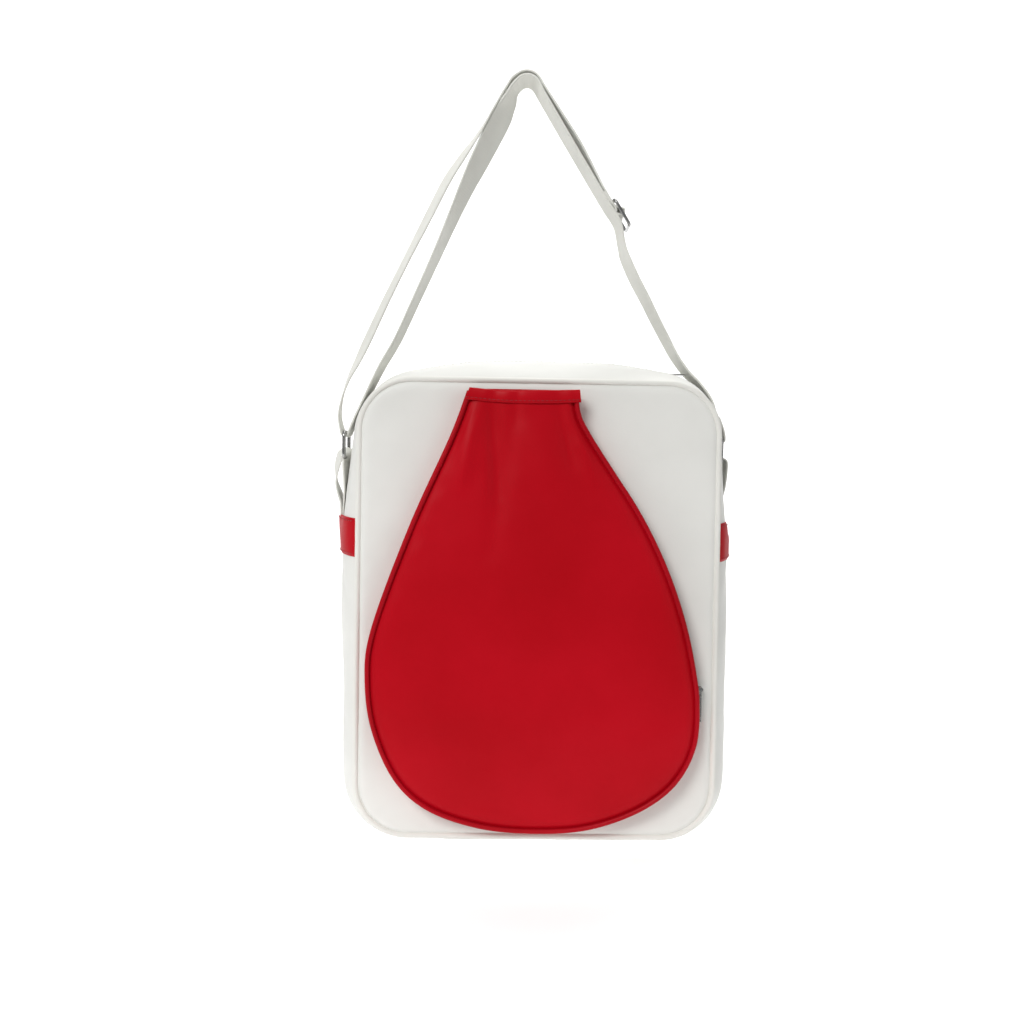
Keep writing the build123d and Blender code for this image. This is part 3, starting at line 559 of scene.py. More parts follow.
def gusset_lift(numbers, y):
    """Stand-off from the seam of the gusset's outer face, at stations and depths."""
    numbers = np.asarray(numbers) % STATIONS
    share = np.clip(abs(y) / GUSSET_HALF, 0, 1)
    lift = CROWN[numbers] * (1 - share**2.3) ** 0.85
    x, h = OUTLINE[numbers, 0], OUTLINE[numbers, 1]
    pressed = smoothstep(h, 254 * MM, 276 * MM) * np.exp(-((y / RING_DENT_HALF) ** 6))
    high = 1 - smoothstep(h, 352 * MM, 376 * MM)
    lift = lift - np.where(x > 100 * MM, RING_DENT, 0) * pressed * high
    run = numbers * SEAM_STEP
    soft = smoothstep(1 - share, 0, 0.3)
    lift = lift + soft * (0.55 * ripple(run, y, 41, 0.09) + 0.22 * ripple(run, y, 42, 0.03)) * MM
    left = x < -120 * MM
    crease = fold(y, h, (-8, 236), (-36, 196), 4) + 0.7 * fold(y, h, (-10, 120), (-34, 86), 5)
    crease = crease + 0.6 * fold(y, h, (12, 226), (34, 190), 5)
    return lift - np.where(left, 1.3 * MM * crease, 0.5 * MM * crease * (x > 120 * MM))


def gusset_grid(first, last, y):
    numbers = np.arange(first, last + 1)
    lift = gusset_lift(numbers[:, None], y[None, :])
    at, out = OUTLINE[numbers % STATIONS], NORMALS[numbers % STATIONS]
    x = at[:, :1] + out[:, :1] * lift
    h = at[:, 1:] + out[:, 1:] * lift
    return place(x, np.broadcast_to(y[None, :], x.shape), h)


MIDDLE = place(0, 0, SEAM_MID)
zip_low, zip_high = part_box("zip_tape_front")
ZIP_HALF = (zip_high.x - zip_low.x) / 2 / MM
ZIP_TOP = zip_high.z - BASE_Z
SIDE_X, TOP_H = 147, 381  # near the seam at the sides and the top, to find its stations
BAND_LOW, BAND_HIGH = ((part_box("side_band_left")[k].z - BASE_Z) / MM for k in (0, 1))
BAND_MID = (BAND_LOW + BAND_HIGH) / 2
depths = np.linspace(-1, 1, 41)
depths = GUSSET_HALF * np.sign(depths) * (1 - (1 - abs(depths)) ** 1.25)
left_mid, right_mid = station(-SIDE_X, BAND_MID), station(SIDE_X, BAND_MID)
left_zip, right_zip = station(-ZIP_HALF, TOP_H), station(ZIP_HALF, TOP_H)
gusset_pieces = (
    ("lower_gusset_skin", "lower_gusset", right_mid, left_mid + STATIONS),
    ("upper_gusset_left_skin", "upper_gusset_left", left_mid, left_zip),
    ("upper_gusset_right_skin", "upper_gusset_right", right_zip, right_mid))
for name, node, first, last in gusset_pieces:
    points = gusset_grid(first, last, depths)
    middle = points[len(points) // 2, len(depths) // 2] - MIDDLE
    assign(skin(name, points, WHITE, middle), "white_leather", "bag", node)

LINING_SHARE = 0.985  # the lining's size over the gusset's
lining_points = gusset_grid(right_zip, left_zip + STATIONS, depths)
lining_points = MIDDLE + (lining_points - MIDDLE) * LINING_SHARE
lining = skin("gusset_lining_cloth", lining_points, LINING, (0, 0, -1), 0.5 * MM)
assign(lining, "lining", "bag", "gusset_lining")

# ---- zip panel: each half rises over the crown and turns down at a stitched lip ----
LIP_Y, LIP_START, LIP_ROWS = 4.6 * MM, 8.5 * MM, 8
LIP_CLEAR = 0.5 * MM  # the lip ends this much above the tape


def zip_panel_points(side):
    """One half, from the piping to the foot of the lip beside the zip."""
    flat = side * np.linspace(GUSSET_HALF, LIP_START, 22)
    points = gusset_grid(left_zip, right_zip, flat)
    edge = points[:, -1]
    turn = np.linspace(0, 1, LIP_ROWS + 1)[1:, None] * math.pi / 2
    lip = np.repeat(edge[None], LIP_ROWS, axis=0)
    lip[..., 1] -= side * (LIP_START - LIP_Y) * np.sin(turn)
    lip[..., 2] -= (edge[:, 2] - (BASE_Z + ZIP_TOP + LIP_CLEAR)) * (1 - np.cos(turn))
    return np.concatenate((points, lip.transpose(1, 0, 2)), axis=1)


for side, name in ((-1, "zip_panel_front"), (1, "zip_panel_rear")):
    panel_points = zip_panel_points(side)
    panel = skin(name + "_skin", panel_points, WHITE, (0, 0, 1), 1.1 * MM)
    assign(panel, "white_leather", "bag", name)
    seam = panel_points[4:-4, 20] + np.array((0, 0, 0.22 * MM))
    assign(stitches(name + "_stitches", seam, WHITE_THREAD), "white_leather", "bag")


# ---- zips: woven tapes, nylon coils and bevelled metal ----
COIL_PITCH, COIL_STEPS = 1.3 * MM, 9


def coil(name, path, outward, material, half_height, half_width, radius):
    """One nylon coil of a zip: a flattened spiral along a path, with outward given along it."""
    fine = resample(path, COIL_PITCH / COIL_STEPS)
    turn = 2 * math.pi * np.arange(len(fine)) / COIL_STEPS
    at, known = np.linspace(0, 1, len(fine)), np.linspace(0, 1, len(outward))
    outward = np.stack([np.interp(at, known, outward[:, k]) for k in range(3)], axis=1)
    spiral = fine + half_height * np.sin(turn)[:, None] * outward
    spiral = spiral + half_width * np.cos(turn)[:, None] * np.array((0, 1, 0))
    return tube(name, spiral, radius, material, sides=5)


def bevelled(node, material, width):
    """Gives a CAD node its material and softens its edges."""
    bevel = dress(node, material).modifiers.new("soft_edges", "BEVEL")
    bevel.width = width
    bevel.segments = 2
    bevel.limit_method = "ANGLE"


TAPE_INNER, TAPE_OUTER, TAPE_T = 1.2 * MM, 15 * MM, 0.6 * MM
for side, name in ((-1, "front"), (1, "rear")):
    low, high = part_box(f"zip_tape_{name}")
    x = np.linspace(low.x, high.x, 90)[:, None] * np.ones((1, 10))
    y = side * np.linspace(TAPE_INNER, TAPE_OUTER, 10)[None, :] * np.ones((90, 1))
    droop = 0.25 * MM * ripple(x, y, 51 + side, 0.03)
    z = np.full_like(x, (low.z + high.z) / 2) + 0.25 * MM + droop
    tape = skin(f"zip_tape_{name}_cloth", np.stack((x, y, z), -1), WHITE_TAPE, (0, 0, 1), TAPE_T)
    assign(tape, "white_zip_tape", "bag", f"zip_tape_{name}")
    low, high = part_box(f"zip_coil_{name}")
    coil_y, coil_z = (low.y + high.y) / 2, (low.z + high.z) / 2 + 0.35 * MM
    path = np.array(((low.x, coil_y, coil_z), (high.x, coil_y, coil_z)))
    up = np.array(((0, 0, 1.0),))
    teeth = coil(f"zip_teeth_{name}", path, up, WHITE_COIL, 0.75 * MM, 1.25 * MM, 0.36 * MM)
    assign(teeth, "white_zip_coil", "bag", f"zip_coil_{name}")

for node, width in (("pocket_slider", 0.25), ("pocket_pull", 0.4), ("zip_stops", 0.2)):
    bevelled(node, METAL, width * MM)


def metal_piece(name, path, radius, body, *nodes, flatten=1.0, closed=False, sides=16):
    """A metal wire or bar, flattened across the bag's depth where flatten isn't one."""
    assign(tube(name, path, radius, METAL, closed, sides, flatten), "metal", body, *nodes)


slider_low, slider_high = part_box("zip_slider")
slider_at = np.array(((slider_low.x + slider_high.x) / 2, 0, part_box("zip_coil_front")[1].z))
BODY_RUN = np.array((-5.2, -4.6, -2.5, 0, 2.5, 4.6, 5.2)) * MM
BODY_R = np.array((1.0, 1.6, 1.9, 2.0, 1.9, 1.6, 1.0)) * MM
body_path = slider_at + np.stack((BODY_RUN, 0 * BODY_RUN, 0 * BODY_RUN + 0.3 * MM), axis=1)
metal_piece("zip_slider_body", body_path, BODY_R, "zip_slider", "zip_slider", flatten=2.3)
BRIDGE_KEYS = ((-3.4, 0, 1.6), (-2.4, 0, 3.2), (0, 0, 3.7), (2.4, 0, 3.2), (3.4, 0, 1.6))
bridge = smooth_path(np.array(BRIDGE_KEYS) * MM, 0.5 * MM)
metal_piece("zip_slider_bridge", bridge + slider_at, 0.6 * MM, "zip_slider")
pull_share = np.linspace(0, 1, 30)
pull_run, pull_rise = 1.5 + 22.5 * pull_share, 2.6 - 0.7 * pull_share
pull_path = slider_at + np.stack((pull_run, 0 * pull_share, pull_rise), axis=1) * MM
pull_r = np.interp(pull_share, (0, 0.06, 0.2, 0.8, 0.95, 1), (0.30, 0.55, 0.45, 0.62, 0.60, 0.30)) * MM
metal_piece("zip_pull_tab", pull_path, pull_r, "zip_pull", "zip_pull", flatten=5.0)


# ---- red bands round both sides, stitched along both edges ----
BAND_LIFT, BAND_SLANT = 1.7 * MM, 0.06


def band_grid(side):
    """A band's outer face, which stands clear of the gusset and bows over the foot of the tab."""
    first, last = sorted((station(side * SIDE_X, BAND_LOW), station(side * SIDE_X, BAND_HIGH)))
    numbers = np.arange(first, last + 1)
    spread = np.linspace(-1, 1, 61)
    y = np.sin(spread * math.pi / 2) * 0.4 + spread * 0.6
    y = y * (GUSSET_HALF - 0.4 * MM)
    share = np.linspace(0, 1, len(numbers))[:, None]
    rim = np.minimum(np.minimum(share, 1 - share) * (BAND_HIGH - BAND_LOW) * MM / (0.9 * MM), 1)
    rim = np.sqrt(np.clip(rim, 0.15, 1))
    top = share if OUTLINE[first, 1] < OUTLINE[last, 1] else 1 - share
    over_tab = 2.8 * MM * np.exp(-((y[None, :] / (15 * MM)) ** 4)) * smoothstep(top, 0.15, 1.0)
    stand = gusset_lift(numbers[:, None], y[None, :]) + BAND_LIFT * rim + over_tab
    at, out = OUTLINE[numbers], NORMALS[numbers]
    heights = np.linspace(at[0, 1], at[-1, 1], len(numbers))[:, None]
    slant = BAND_SLANT * y[None, :]
    return place(at[:, :1] + out[:, :1] * stand, y[None, :], heights + slant + out[:, 1:] * stand)


for side, name in ((-1, "left"), (1, "right")):
    points = band_grid(side)
    band = skin(f"side_band_{name}_leather", points, RED, (side, 0, 0))
    assign(band, "red_leather", "bag", f"side_band_{name}")
    for edge, row in (("low", 1), ("high", -2)):
        line = points[row, 3:-3] + np.array((side * 0.3 * MM, 0, 0))
        assign(stitches(f"side_band_{name}_{edge}_stitches", line, RED_THREAD), "red_leather", "bag")


# ---- flat webbing ----
def ribbon(name, path, width, thickness, twist, material, across=(0, 1, 0)):
    """A woven strap along a path, turned about its run by twist, with thicker selvedges."""
    path = np.asarray(path, float)
    ahead = np.gradient(path, axis=0)
    ahead = ahead / np.linalg.norm(ahead, axis=1)[:, None]
    across = np.broadcast_to(np.asarray(across, float), path.shape)
    out = np.cross(ahead, across)
    out = out / np.linalg.norm(out, axis=1)[:, None]
    twist = np.broadcast_to(twist, len(path))[:, None]
    wide = np.cos(twist) * across - np.sin(twist) * out
    thick = np.cos(twist) * out + np.sin(twist) * across
    a, b = width / 2, thickness / 2
    edge = ((0, 0.5), (0.5, 1), (2.4, 1.05), (3.4, 0.86))  # inset and height, in half thicknesses
    half = [(-a + inset * b, up * b) for inset, up in edge] + [(0, 0.84 * b)]
    half += [(a - inset * b, up * b) for inset, up in edge[::-1]]
    section = np.array([(across_it, -up) for across_it, up in half] + half[::-1])
    points = path[:, None] + section[None, :, :1] * wide[:, None] + section[None, :, 1:] * thick[:, None]
    count = len(section)
    faces = grid_faces(len(path), count, False, True)
    faces.append(tuple(range(count))[::-1])
    faces.append(tuple(range(len(path) * count - count, len(path) * count)))
    run = np.concatenate(([0], np.cumsum(np.linalg.norm(np.diff(path, axis=0), axis=1))))
    uv = np.stack((np.repeat(run, count), np.tile(section[:, 0], len(path))), axis=1)
    piece = add_mesh(name, points.reshape(-1, 3), faces, material, uv)
    piece.data.set_sharp_from_angle(angle=math.radians(60))
    return piece


def arc(centre, radius, first, last, count=10):
    """Points in the x-h plane round a centre, by angles in degrees."""
    angles = np.radians(np.linspace(first, last, count))
    return [(centre[0] + radius * math.cos(a), centre[1] + radius * math.sin(a)) for a in angles]


def strap_path(keys, step=2.0 * MM):
    """A smooth path in the row frame, through keys of x, h and twist in millimetres and degrees."""
    keys = smooth_path(np.array(keys, float) * (MM, MM, math.radians(1)), step)
    return place(keys[:, 0], 0, keys[:, 1]), keys[:, 2]


WEB_W, WEB_T, TAB_T = 25 * MM, 1.6 * MM, 1.5 * MM
PEAK_X, PEAK_H = -MID_X / MM, -BASE_Z / MM  # the row frame's origin, in the bag's frame
HOOK_R = 8.0
HOOK = (PEAK_X, PEAK_H - HOOK_R)
INNER_R, OUTER_R = HOOK_R + 0.8, HOOK_R + 2.8
ring_low, ring_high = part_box("ring_left")
LEFT_RING_X, RIGHT_RING_X = 160.5, 151.6
RING_WIRE_R = 1.5
RING_H = (ring_high.z - BASE_Z) / MM - RING_WIRE_R
LOOP_R = 3.0
slide_axis = next(j for j in frame["joints"] if j["name"] == "adjuster_slide")["axis"]
DOWN = (-slide_axis[0], -slide_axis[2])
OUT = (-DOWN[1], DOWN[0])
ADJUSTER_AT, BAR_LIFT, OUTER_LIFT, END_LENGTH, OUTER_SPLIT = 126.0, 6.0, 2.0, 26.0, 5.0


def beside(distance, lift):
    """A point on the right strand, in the bag's frame: distance down from the hook, lifted outwards."""
    x = HOOK[0] + (INNER_R + lift) * OUT[0] + distance * DOWN[0]
    return (x, HOOK[1] + (INNER_R + lift) * OUT[1] + distance * DOWN[1])


def twisted(points, twist):
    return [(x, h, twist) for x, h in points]


over_hook = math.degrees(math.atan2(OUT[1], OUT[0]))
right_leg = [(149.4, RING_H + 17, 0), (RIGHT_RING_X + LOOP_R - 0.8, RING_H + 5, 0)]
right_leg += twisted(arc((RIGHT_RING_X, RING_H - 1.4), LOOP_R, 0, -180, 7), 0)
right_leg += [(147.8, RING_H + 9, 0), (146.0, 361.5, 0), (140.6, 374, -2), (132, 384.5, -3),
              (122, 394, -5), (113, 406, -6), (104.4, 421, -8), (95.6, 437, -9), (87, 453.5, -10),
              (77.3, 471, -11), (69.8, 487, -10), (66.0, 500, -7)]
inner_run = [(*beside(ADJUSTER_AT + 4, 0.2), -8), (*beside(ADJUSTER_AT - 12, -0.3), -8),
             (*beside(80, -0.5), -8), (*beside(40, -0.5), -8), (*beside(10, -0.3), -8)]
inner_run += twisted(arc(HOOK, INNER_R, over_hook, 140, 7), -9)
inner_run += [(-28.5, 613, -22), (-38, 594, -36), (-51, 568, -32), (-63, 543, -22), (-74.7, 516, -14),
              (-89.3, 482, -9), (-104, 449, -7), (-119, 416, -6), (-131, 395, -5), (-138, 381, -4),
              (-145.3, 366, -2), (-152, 352, -1)]
left_loop = twisted(arc((-LEFT_RING_X, RING_H - 0.6), LOOP_R, 0, -180, 7), 0)
outer_run = [(-LEFT_RING_X - LOOP_R - 2.6, RING_H + 12, -3), (-164.6, 366, -7), (-159.3, 383, -12),
             (-151.3, 399.5, -18), (-143.7, 416, -21), (-128.6, 449, -20), (-112.5, 482, -19),
             (-96, 515, -21), (-79.5, 548, -22), (-68, 566, -20), (-55, 585, -14), (-43, 605, -8),
             (-31, 622.5, 0)]
outer_run += twisted(arc((HOOK[0] - 0.5, HOOK[1] + 1), OUTER_R, 128, over_hook + 6, 7), 9)
outer_run += [(*beside(OUTER_SPLIT, OUTER_LIFT), 9)]

strap_points, strap_twist = strap_path(right_leg + inner_run + left_loop + outer_run)
strap = ribbon("shoulder_strap", strap_points, WEB_W, WEB_T, strap_twist, STRAP)
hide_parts("strap_inner_run", "strap_outer_run", "strap_left_loop", "strap_right_leg")
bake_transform(strap)

# The outer layer runs from the peak to the adjuster.
layer_keys = [(*beside(OUTER_SPLIT, OUTER_LIFT), 9), (*beside(30, OUTER_LIFT + 1.2), 9),
              (*beside(58, OUTER_LIFT + 2.2), 9), (*beside(80, OUTER_LIFT + 1.4), 8),
              (*beside(ADJUSTER_AT - END_LENGTH, OUTER_LIFT), 8)]
layer_points, layer_twist = strap_path(layer_keys)
layer = ribbon("strap_outer_layer", layer_points, WEB_W, WEB_T, layer_twist, STRAP)
assign(layer, "webbing", "strap", "strap_outer_right")
top_x, top_h = beside(OUTER_SPLIT, OUTER_LIFT)
top = place(top_x * MM, 0, top_h * MM)
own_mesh(layer)

end_keys = [(*beside(ADJUSTER_AT - END_LENGTH, OUTER_LIFT), 8), (*beside(ADJUSTER_AT - 14, OUTER_LIFT), 8),
            (*beside(ADJUSTER_AT - 6, OUTER_LIFT + 0.6), 6), (*beside(ADJUSTER_AT, BAR_LIFT - 2.5), 0),
            (*beside(ADJUSTER_AT + 2.5, BAR_LIFT), 0), (*beside(ADJUSTER_AT, BAR_LIFT + 2.6), 0),
            (*beside(ADJUSTER_AT - 5, BAR_LIFT + 0.6), 2), (*beside(ADJUSTER_AT - 10, OUTER_LIFT + 2.2), 4),
            (*beside(ADJUSTER_AT - 22, OUTER_LIFT + 1.9), 6)]
end_points, end_twist = strap_path(end_keys, 1.0 * MM)
sewn_end = ribbon("strap_sewn_end_webbing", end_points, WEB_W, WEB_T, end_twist, STRAP)
assign(sewn_end, "webbing", "adjuster", "strap_sewn_end")


# ---- adjuster: a cast frame with a bar ----
def rounded_loop(half_a, half_b, r):
    """A closed rectangle with rounded corners."""
    points = []
    for sa, sb, first in ((1, 1, 0), (-1, 1, 90), (-1, -1, 180), (1, -1, 270)):
        points += arc((sa * (half_a - r), sb * (half_b - r)), r, first, first + 90, 8)
    return resample(points + points[:1], 1.0 * MM)[:-1]


adjuster_x, adjuster_h = beside(ADJUSTER_AT, BAR_LIFT)
adjuster_at = place(adjuster_x * MM, 0, adjuster_h * MM)
ALONG_Y = np.array((0, 1, 0))
loop = rounded_loop(12 * MM, 15.2 * MM, 3.5 * MM)
loop_path = adjuster_at + loop[:, :1] * np.array((DOWN[0], 0, DOWN[1])) + loop[:, 1:] * ALONG_Y
metal_piece("adjuster_cast_frame", loop_path, 1.35 * MM, "adjuster", "adjuster_frame", closed=True, sides=14)
bar_path = adjuster_at + np.linspace(-14.5, 14.5, 30)[:, None] * MM * ALONG_Y
metal_piece("adjuster_cast_bar", bar_path, 1.2 * MM, "adjuster", "adjuster_bar", sides=14)

# ---- ring tabs: a folded strip, its outer layer bowed and slack, riveted ----
TAB_FOOT = (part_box("ring_tab_left")[0].z - BASE_Z) / MM
LOWER_BAR_H = (ring_low.z - BASE_Z) / MM + RING_WIRE_R
RING_BEND_R = 4 * MM
RIVET_OUT = np.array((-1.0, 1.2, 2.4, 3.2, 3.5))  # from the tab's foot outwards
RIVET_R = np.array((1.5, 1.5, 3.4, 2.8, 1.2))
ring_tall = (ring_high.z - ring_low.z) / 2 - RING_WIRE_R * MM
ring_wide = (ring_high.y - ring_low.y) / 2 - RING_WIRE_R * MM
ring_loop = rounded_loop(ring_tall, ring_wide, RING_BEND_R)
for side, name, ring_x, foot_x, bow in (
        (-1, "left", LEFT_RING_X, 161.2, 6.2), (1, "right", RIGHT_RING_X, 151.0, 0.6)):
    ring_mid = place(side * ring_x * MM, 0, (ring_low.z + ring_high.z) / 2 - BASE_Z)
    ring_path = ring_mid + ring_loop[:, :1] * np.array((0, 0, 1)) + ring_loop[:, 1:] * ALONG_Y
    metal_piece(f"ring_{name}_wire", ring_path, RING_WIRE_R * MM, f"{name}_ring", f"ring_{name}", closed=True)
    keys = [(foot_x, TAB_FOOT - 3), (foot_x - 0.4, TAB_FOOT + 10), (ring_x - 2.0, LOWER_BAR_H - 8),
            (ring_x - 2.5, LOWER_BAR_H)]
    keys += arc((ring_x + 1.6, LOWER_BAR_H), 4.1, 180, 0, 7)[1:]
    keys += [(ring_x + 5.2 + bow * 0.4, LOWER_BAR_H - 9), (ring_x + 3.6 + bow * 0.7, LOWER_BAR_H - 20),
             (foot_x + 2.0 + bow * 0.4, LOWER_BAR_H - 30), (foot_x + 2.2, TAB_FOOT + 9),
             (foot_x + 1.6, TAB_FOOT - 3)]
    line = smooth_path(np.array(keys) * MM, 1.2 * MM)
    tab_path = place(side * line[:, 0], 0, line[:, 1])
    turned = -side * 0.05 * bow * smoothstep(line[:, 1], (TAB_FOOT + 14) * MM, LOWER_BAR_H * MM)
    tab = ribbon(f"ring_tab_{name}_strip", tab_path, WEB_W, TAB_T, turned, STRAP)
    assign(tab, "white_leather", "bag", f"ring_tab_{name}")
    rivet_path = place(side * (foot_x + RIVET_OUT) * MM, 0, (TAB_FOOT + 7) * MM)
    metal_piece(f"tab_rivet_{name}_cap", rivet_path, RIVET_R * MM, "bag", f"tab_rivet_{name}")

# ---- racket pocket ----
POCKET_BACK = -HALF_DEPTH
POCKET_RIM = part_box("pocket_wall")[0].y
POCKET_PIPING_R = 2.0 * MM
POCKET_PIPING_Y = POCKET_RIM - POCKET_PIPING_R
MOUTH_H = (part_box("pocket_front")[1].z - BASE_Z) / MM
COLLAR_LOW, COLLAR_HIGH = ((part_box("pocket_collar")[k].z - BASE_Z) / MM for k in (0, 1))
travel = next(j for j in frame["joints"] if j["name"] == "pocket_zip_travel")
ARC_CENTRE = ((travel["pos_m"][0] - MID_X) / MM, (travel["pos_m"][2] - BASE_Z) / MM)
ARC_R = 368.0
ZIP_START, ZIP_END = 5.0, 36.0

left_side = [(-55.5, MOUTH_H), (-67, 341), (-101, 263), (-132, 173), (-134.4, 145), (-129.5, 105),
             (-110, 61.5), (-86, 40), (-45, 25.5), (0, 21.4), (45, 25.3), (88, 42), (113, 63), (127, 92)]
zip_side = arc(ARC_CENTRE, ARC_R, ZIP_START + 1.5, ZIP_END, 10)
pocket_keys = left_side + zip_side + [(36.5, 341), (30, 354), (27, MOUTH_H)]
POCKET_STEP = 2.0 * MM
POCKET = smooth_path(np.array(pocket_keys, float) * MM, POCKET_STEP)
pocket_base = int(np.argmin(POCKET[:, 1]))


def by_share(path, count):
    """The path again, as count points evenly spaced along it."""
    length = np.linalg.norm(np.diff(path, axis=0), axis=1).sum()
    return resample(path, length / (count - 1))[:count]


POCKET_ROWS, POCKET_COLUMNS = 130, 84
left_edge = by_share(POCKET[:pocket_base + 1][::-1], POCKET_ROWS)
right_edge = by_share(POCKET[pocket_base:], POCKET_ROWS)


def pocket_distance(x, h):
    """How far inside the pocket's outline each point is."""
    flat = np.stack((x.ravel(), h.ravel()), axis=1)
    gaps = np.full(len(flat), np.inf)
    for start in range(0, len(POCKET), 40):
        part = POCKET[start:start + 40]
        away = np.hypot(flat[:, None, 0] - part[None, :, 0], flat[:, None, 1] - part[None, :, 1])
        gaps = np.minimum(gaps, away.min(axis=1))
    return gaps.reshape(x.shape)


FACE_INSIDE = np.array((0, 1.5, 2.6, 4.5, 8, 13)) * MM
FACE_RISE = np.array((0.6, 0.7, 0.9, 2.2, 2.9, 3.2)) * MM


def pocket_front_y(x, h, inside):
    """The pocket's face: rolled at its piping, domed, with folds that run down from the mouth."""
    rolled = np.interp(inside, FACE_INSIDE, FACE_RISE)
    high = smoothstep(h, 250 * MM, MOUTH_H * MM)
    dome = 4.2 * MM * (1 - np.exp(-np.maximum(inside - 4 * MM, 0) / (34 * MM))) * (1 - 0.55 * high)
    folds = 2.9 * fold(x, h, (-38, 368), (-34, 292), 6) + 1.8 * fold(x, h, (-22, 352), (-38, 245), 8)
    ridges = 2.4 * fold(x, h, (-52, 354), (-62, 298), 7) + 2.4 * fold(x, h, (-8, 352), (14, 296), 14)
    ridges = ridges + 1.6 * fold(x, h, (22, 364), (42, 306), 6)
    folds = folds + 1.3 * fold(x, h, (13, 368), (26, 312), 5) + 0.7 * fold(x, h, (-20, 370), (-18, 346), 4)
    soft = smoothstep(inside, 3 * MM, 22 * MM)
    waves = 0.5 * ripple(x, h, 61, 0.15) + 0.13 * ripple(x, h, 62, 0.045)
    pucker = 0.2 * np.exp(-((inside - 9 * MM) / (6 * MM)) ** 2) * ripple(x, h, 63, 0.02)
    edge = smoothstep(inside, 2 * MM, 9 * MM)
    return POCKET_RIM - rolled - dome - (edge * (ridges - folds) + soft * waves + pucker) * MM


share = np.linspace(0, 1, POCKET_COLUMNS)
share = 0.5 * share + 0.5 * (1 - np.cos(math.pi * share)) / 2
face_x = left_edge[2:, :1] + (right_edge[2:, :1] - left_edge[2:, :1]) * share
face_h = left_edge[2:, 1:] + (right_edge[2:, 1:] - left_edge[2:, 1:]) * share
inside = pocket_distance(face_x, face_h)
face_y = pocket_front_y(face_x, face_h, inside)
pocket_face = skin("pocket_face", place(face_x, face_y, face_h), RED, (0, -1, 0))
assign(pocket_face, "red_leather", "bag", "pocket_front")

piping_run = POCKET[1:-1]
wander = 0.12 * MM * ripple(piping_run[:, 0], piping_run[:, 1], 65, 0.05)
piping_line = place(piping_run[:, 0], POCKET_PIPING_Y + wander, piping_run[:, 1])
pocket_piping = tube("pocket_piping_cord", piping_line, POCKET_PIPING_R, RED_EDGE, sides=16)
assign(pocket_piping, "red_leather", "bag", "pocket_piping")


def outward_normals(path):
    ahead = np.gradient(path, axis=0)
    ahead = ahead / np.linalg.norm(ahead, axis=1)[:, None]
    return np.stack((ahead[:, 1], -ahead[:, 0]), axis=1)


def wall_skin(name, path, *nodes):
    """The pocket's side wall along a part of its outline, puckered a little by its seams."""
    out = outward_normals(path)
    y = np.linspace(POCKET_BACK + 0.4 * MM, POCKET_RIM - 1.0 * MM, 16)
    share = (y - y[0]) / (y[-1] - y[0])
    swell = np.sin(math.pi * share)
    run = np.arange(len(path)) * POCKET_STEP
    pucker = ripple(run[:, None], share[None, :] * 10 * MM, 71, 0.02)
    belly = 0.9 * MM * swell[None, :] + 0.25 * MM * pucker * swell
    x = path[:, :1] + out[:, :1] * belly
    h = path[:, 1:] + out[:, 1:] * belly
    points = place(x, np.broadcast_to(y[None, :], x.shape), h)
    middle = path[len(path) // 2]
    piece = skin(name, points, RED, (middle[0], 0, middle[1] - 150 * MM))
    assign(piece, "red_leather", "bag", *nodes)


def nearest(x, h):
    """The number of the pocket's outline point nearest to a place in millimetres."""
    return int(np.argmin(np.hypot(POCKET[:, 0] - x * MM, POCKET[:, 1] - h * MM)))


arc_first = nearest(*arc(ARC_CENTRE, ARC_R, ZIP_START, ZIP_START, 1)[0])
arc_last = nearest(*arc(ARC_CENTRE, ARC_R, ZIP_END, ZIP_END, 1)[0])
wall_skin("pocket_wall_left", POCKET[:arc_first + 1], "pocket_wall")
wall_skin("pocket_wall_neck", POCKET[arc_last:])

TAPE_GAP, COIL_OFF = 1.0 * MM, 1.7 * MM  # from the zip's middle to each tape and each coil
arc_run = by_share(POCKET[arc_first:arc_last + 1], 110)
arc_out = outward_normals(arc_run)
arc_out = np.stack((arc_out[:, 0], np.zeros(len(arc_out)), arc_out[:, 1]), axis=1)
coils_low, coils_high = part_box("pocket_zip_coils")
zip_y = (coils_low.y + coils_high.y) / 2
for name, side, near, far, tapes, coils in (
        ("front", -1, POCKET_RIM - 0.8 * MM, zip_y - TAPE_GAP, ["pocket_zip_tapes"], ["pocket_zip_coils"]),
        ("rear", 1, zip_y + TAPE_GAP, POCKET_BACK, [], [])):
    y = np.linspace(near, far, 8)
    x = arc_run[:, :1] * np.ones((1, 8))
    h = arc_run[:, 1:] * np.ones((1, 8))
    tape = skin(f"pocket_zip_{name}_tape", place(x, y[None, :], h), RED_TAPE, (1, 0, 0.3), TAPE_T)
    assign(tape, "red_zip_tape", "bag", *tapes)
    path = place(arc_run[:, 0], zip_y + side * COIL_OFF, arc_run[:, 1])
    teeth = coil(f"pocket_zip_{name}_teeth", path, arc_out, RED_COIL, 0.7 * MM, 1.2 * MM, 0.34 * MM)
    assign(teeth, "red_zip_coil", "bag", *coils)

# ---- collar: a folded band sewn over the pocket's mouth ----
COLLAR_COLUMNS = 64
collar_low, collar_high = (
    by_share(smooth_path(np.array(keys) * MM, 1.5 * MM), COLLAR_COLUMNS) for keys in (
        ((-59.5, COLLAR_LOW + 1.5), (-30, COLLAR_LOW - 0.6), (0, COLLAR_LOW - 0.8),
         (31.5, COLLAR_LOW + 0.6)),
        ((-56, COLLAR_HIGH), (-28, COLLAR_HIGH - 2.0), (0, COLLAR_HIGH - 1.4),
         (30.5, COLLAR_HIGH - 0.4))))
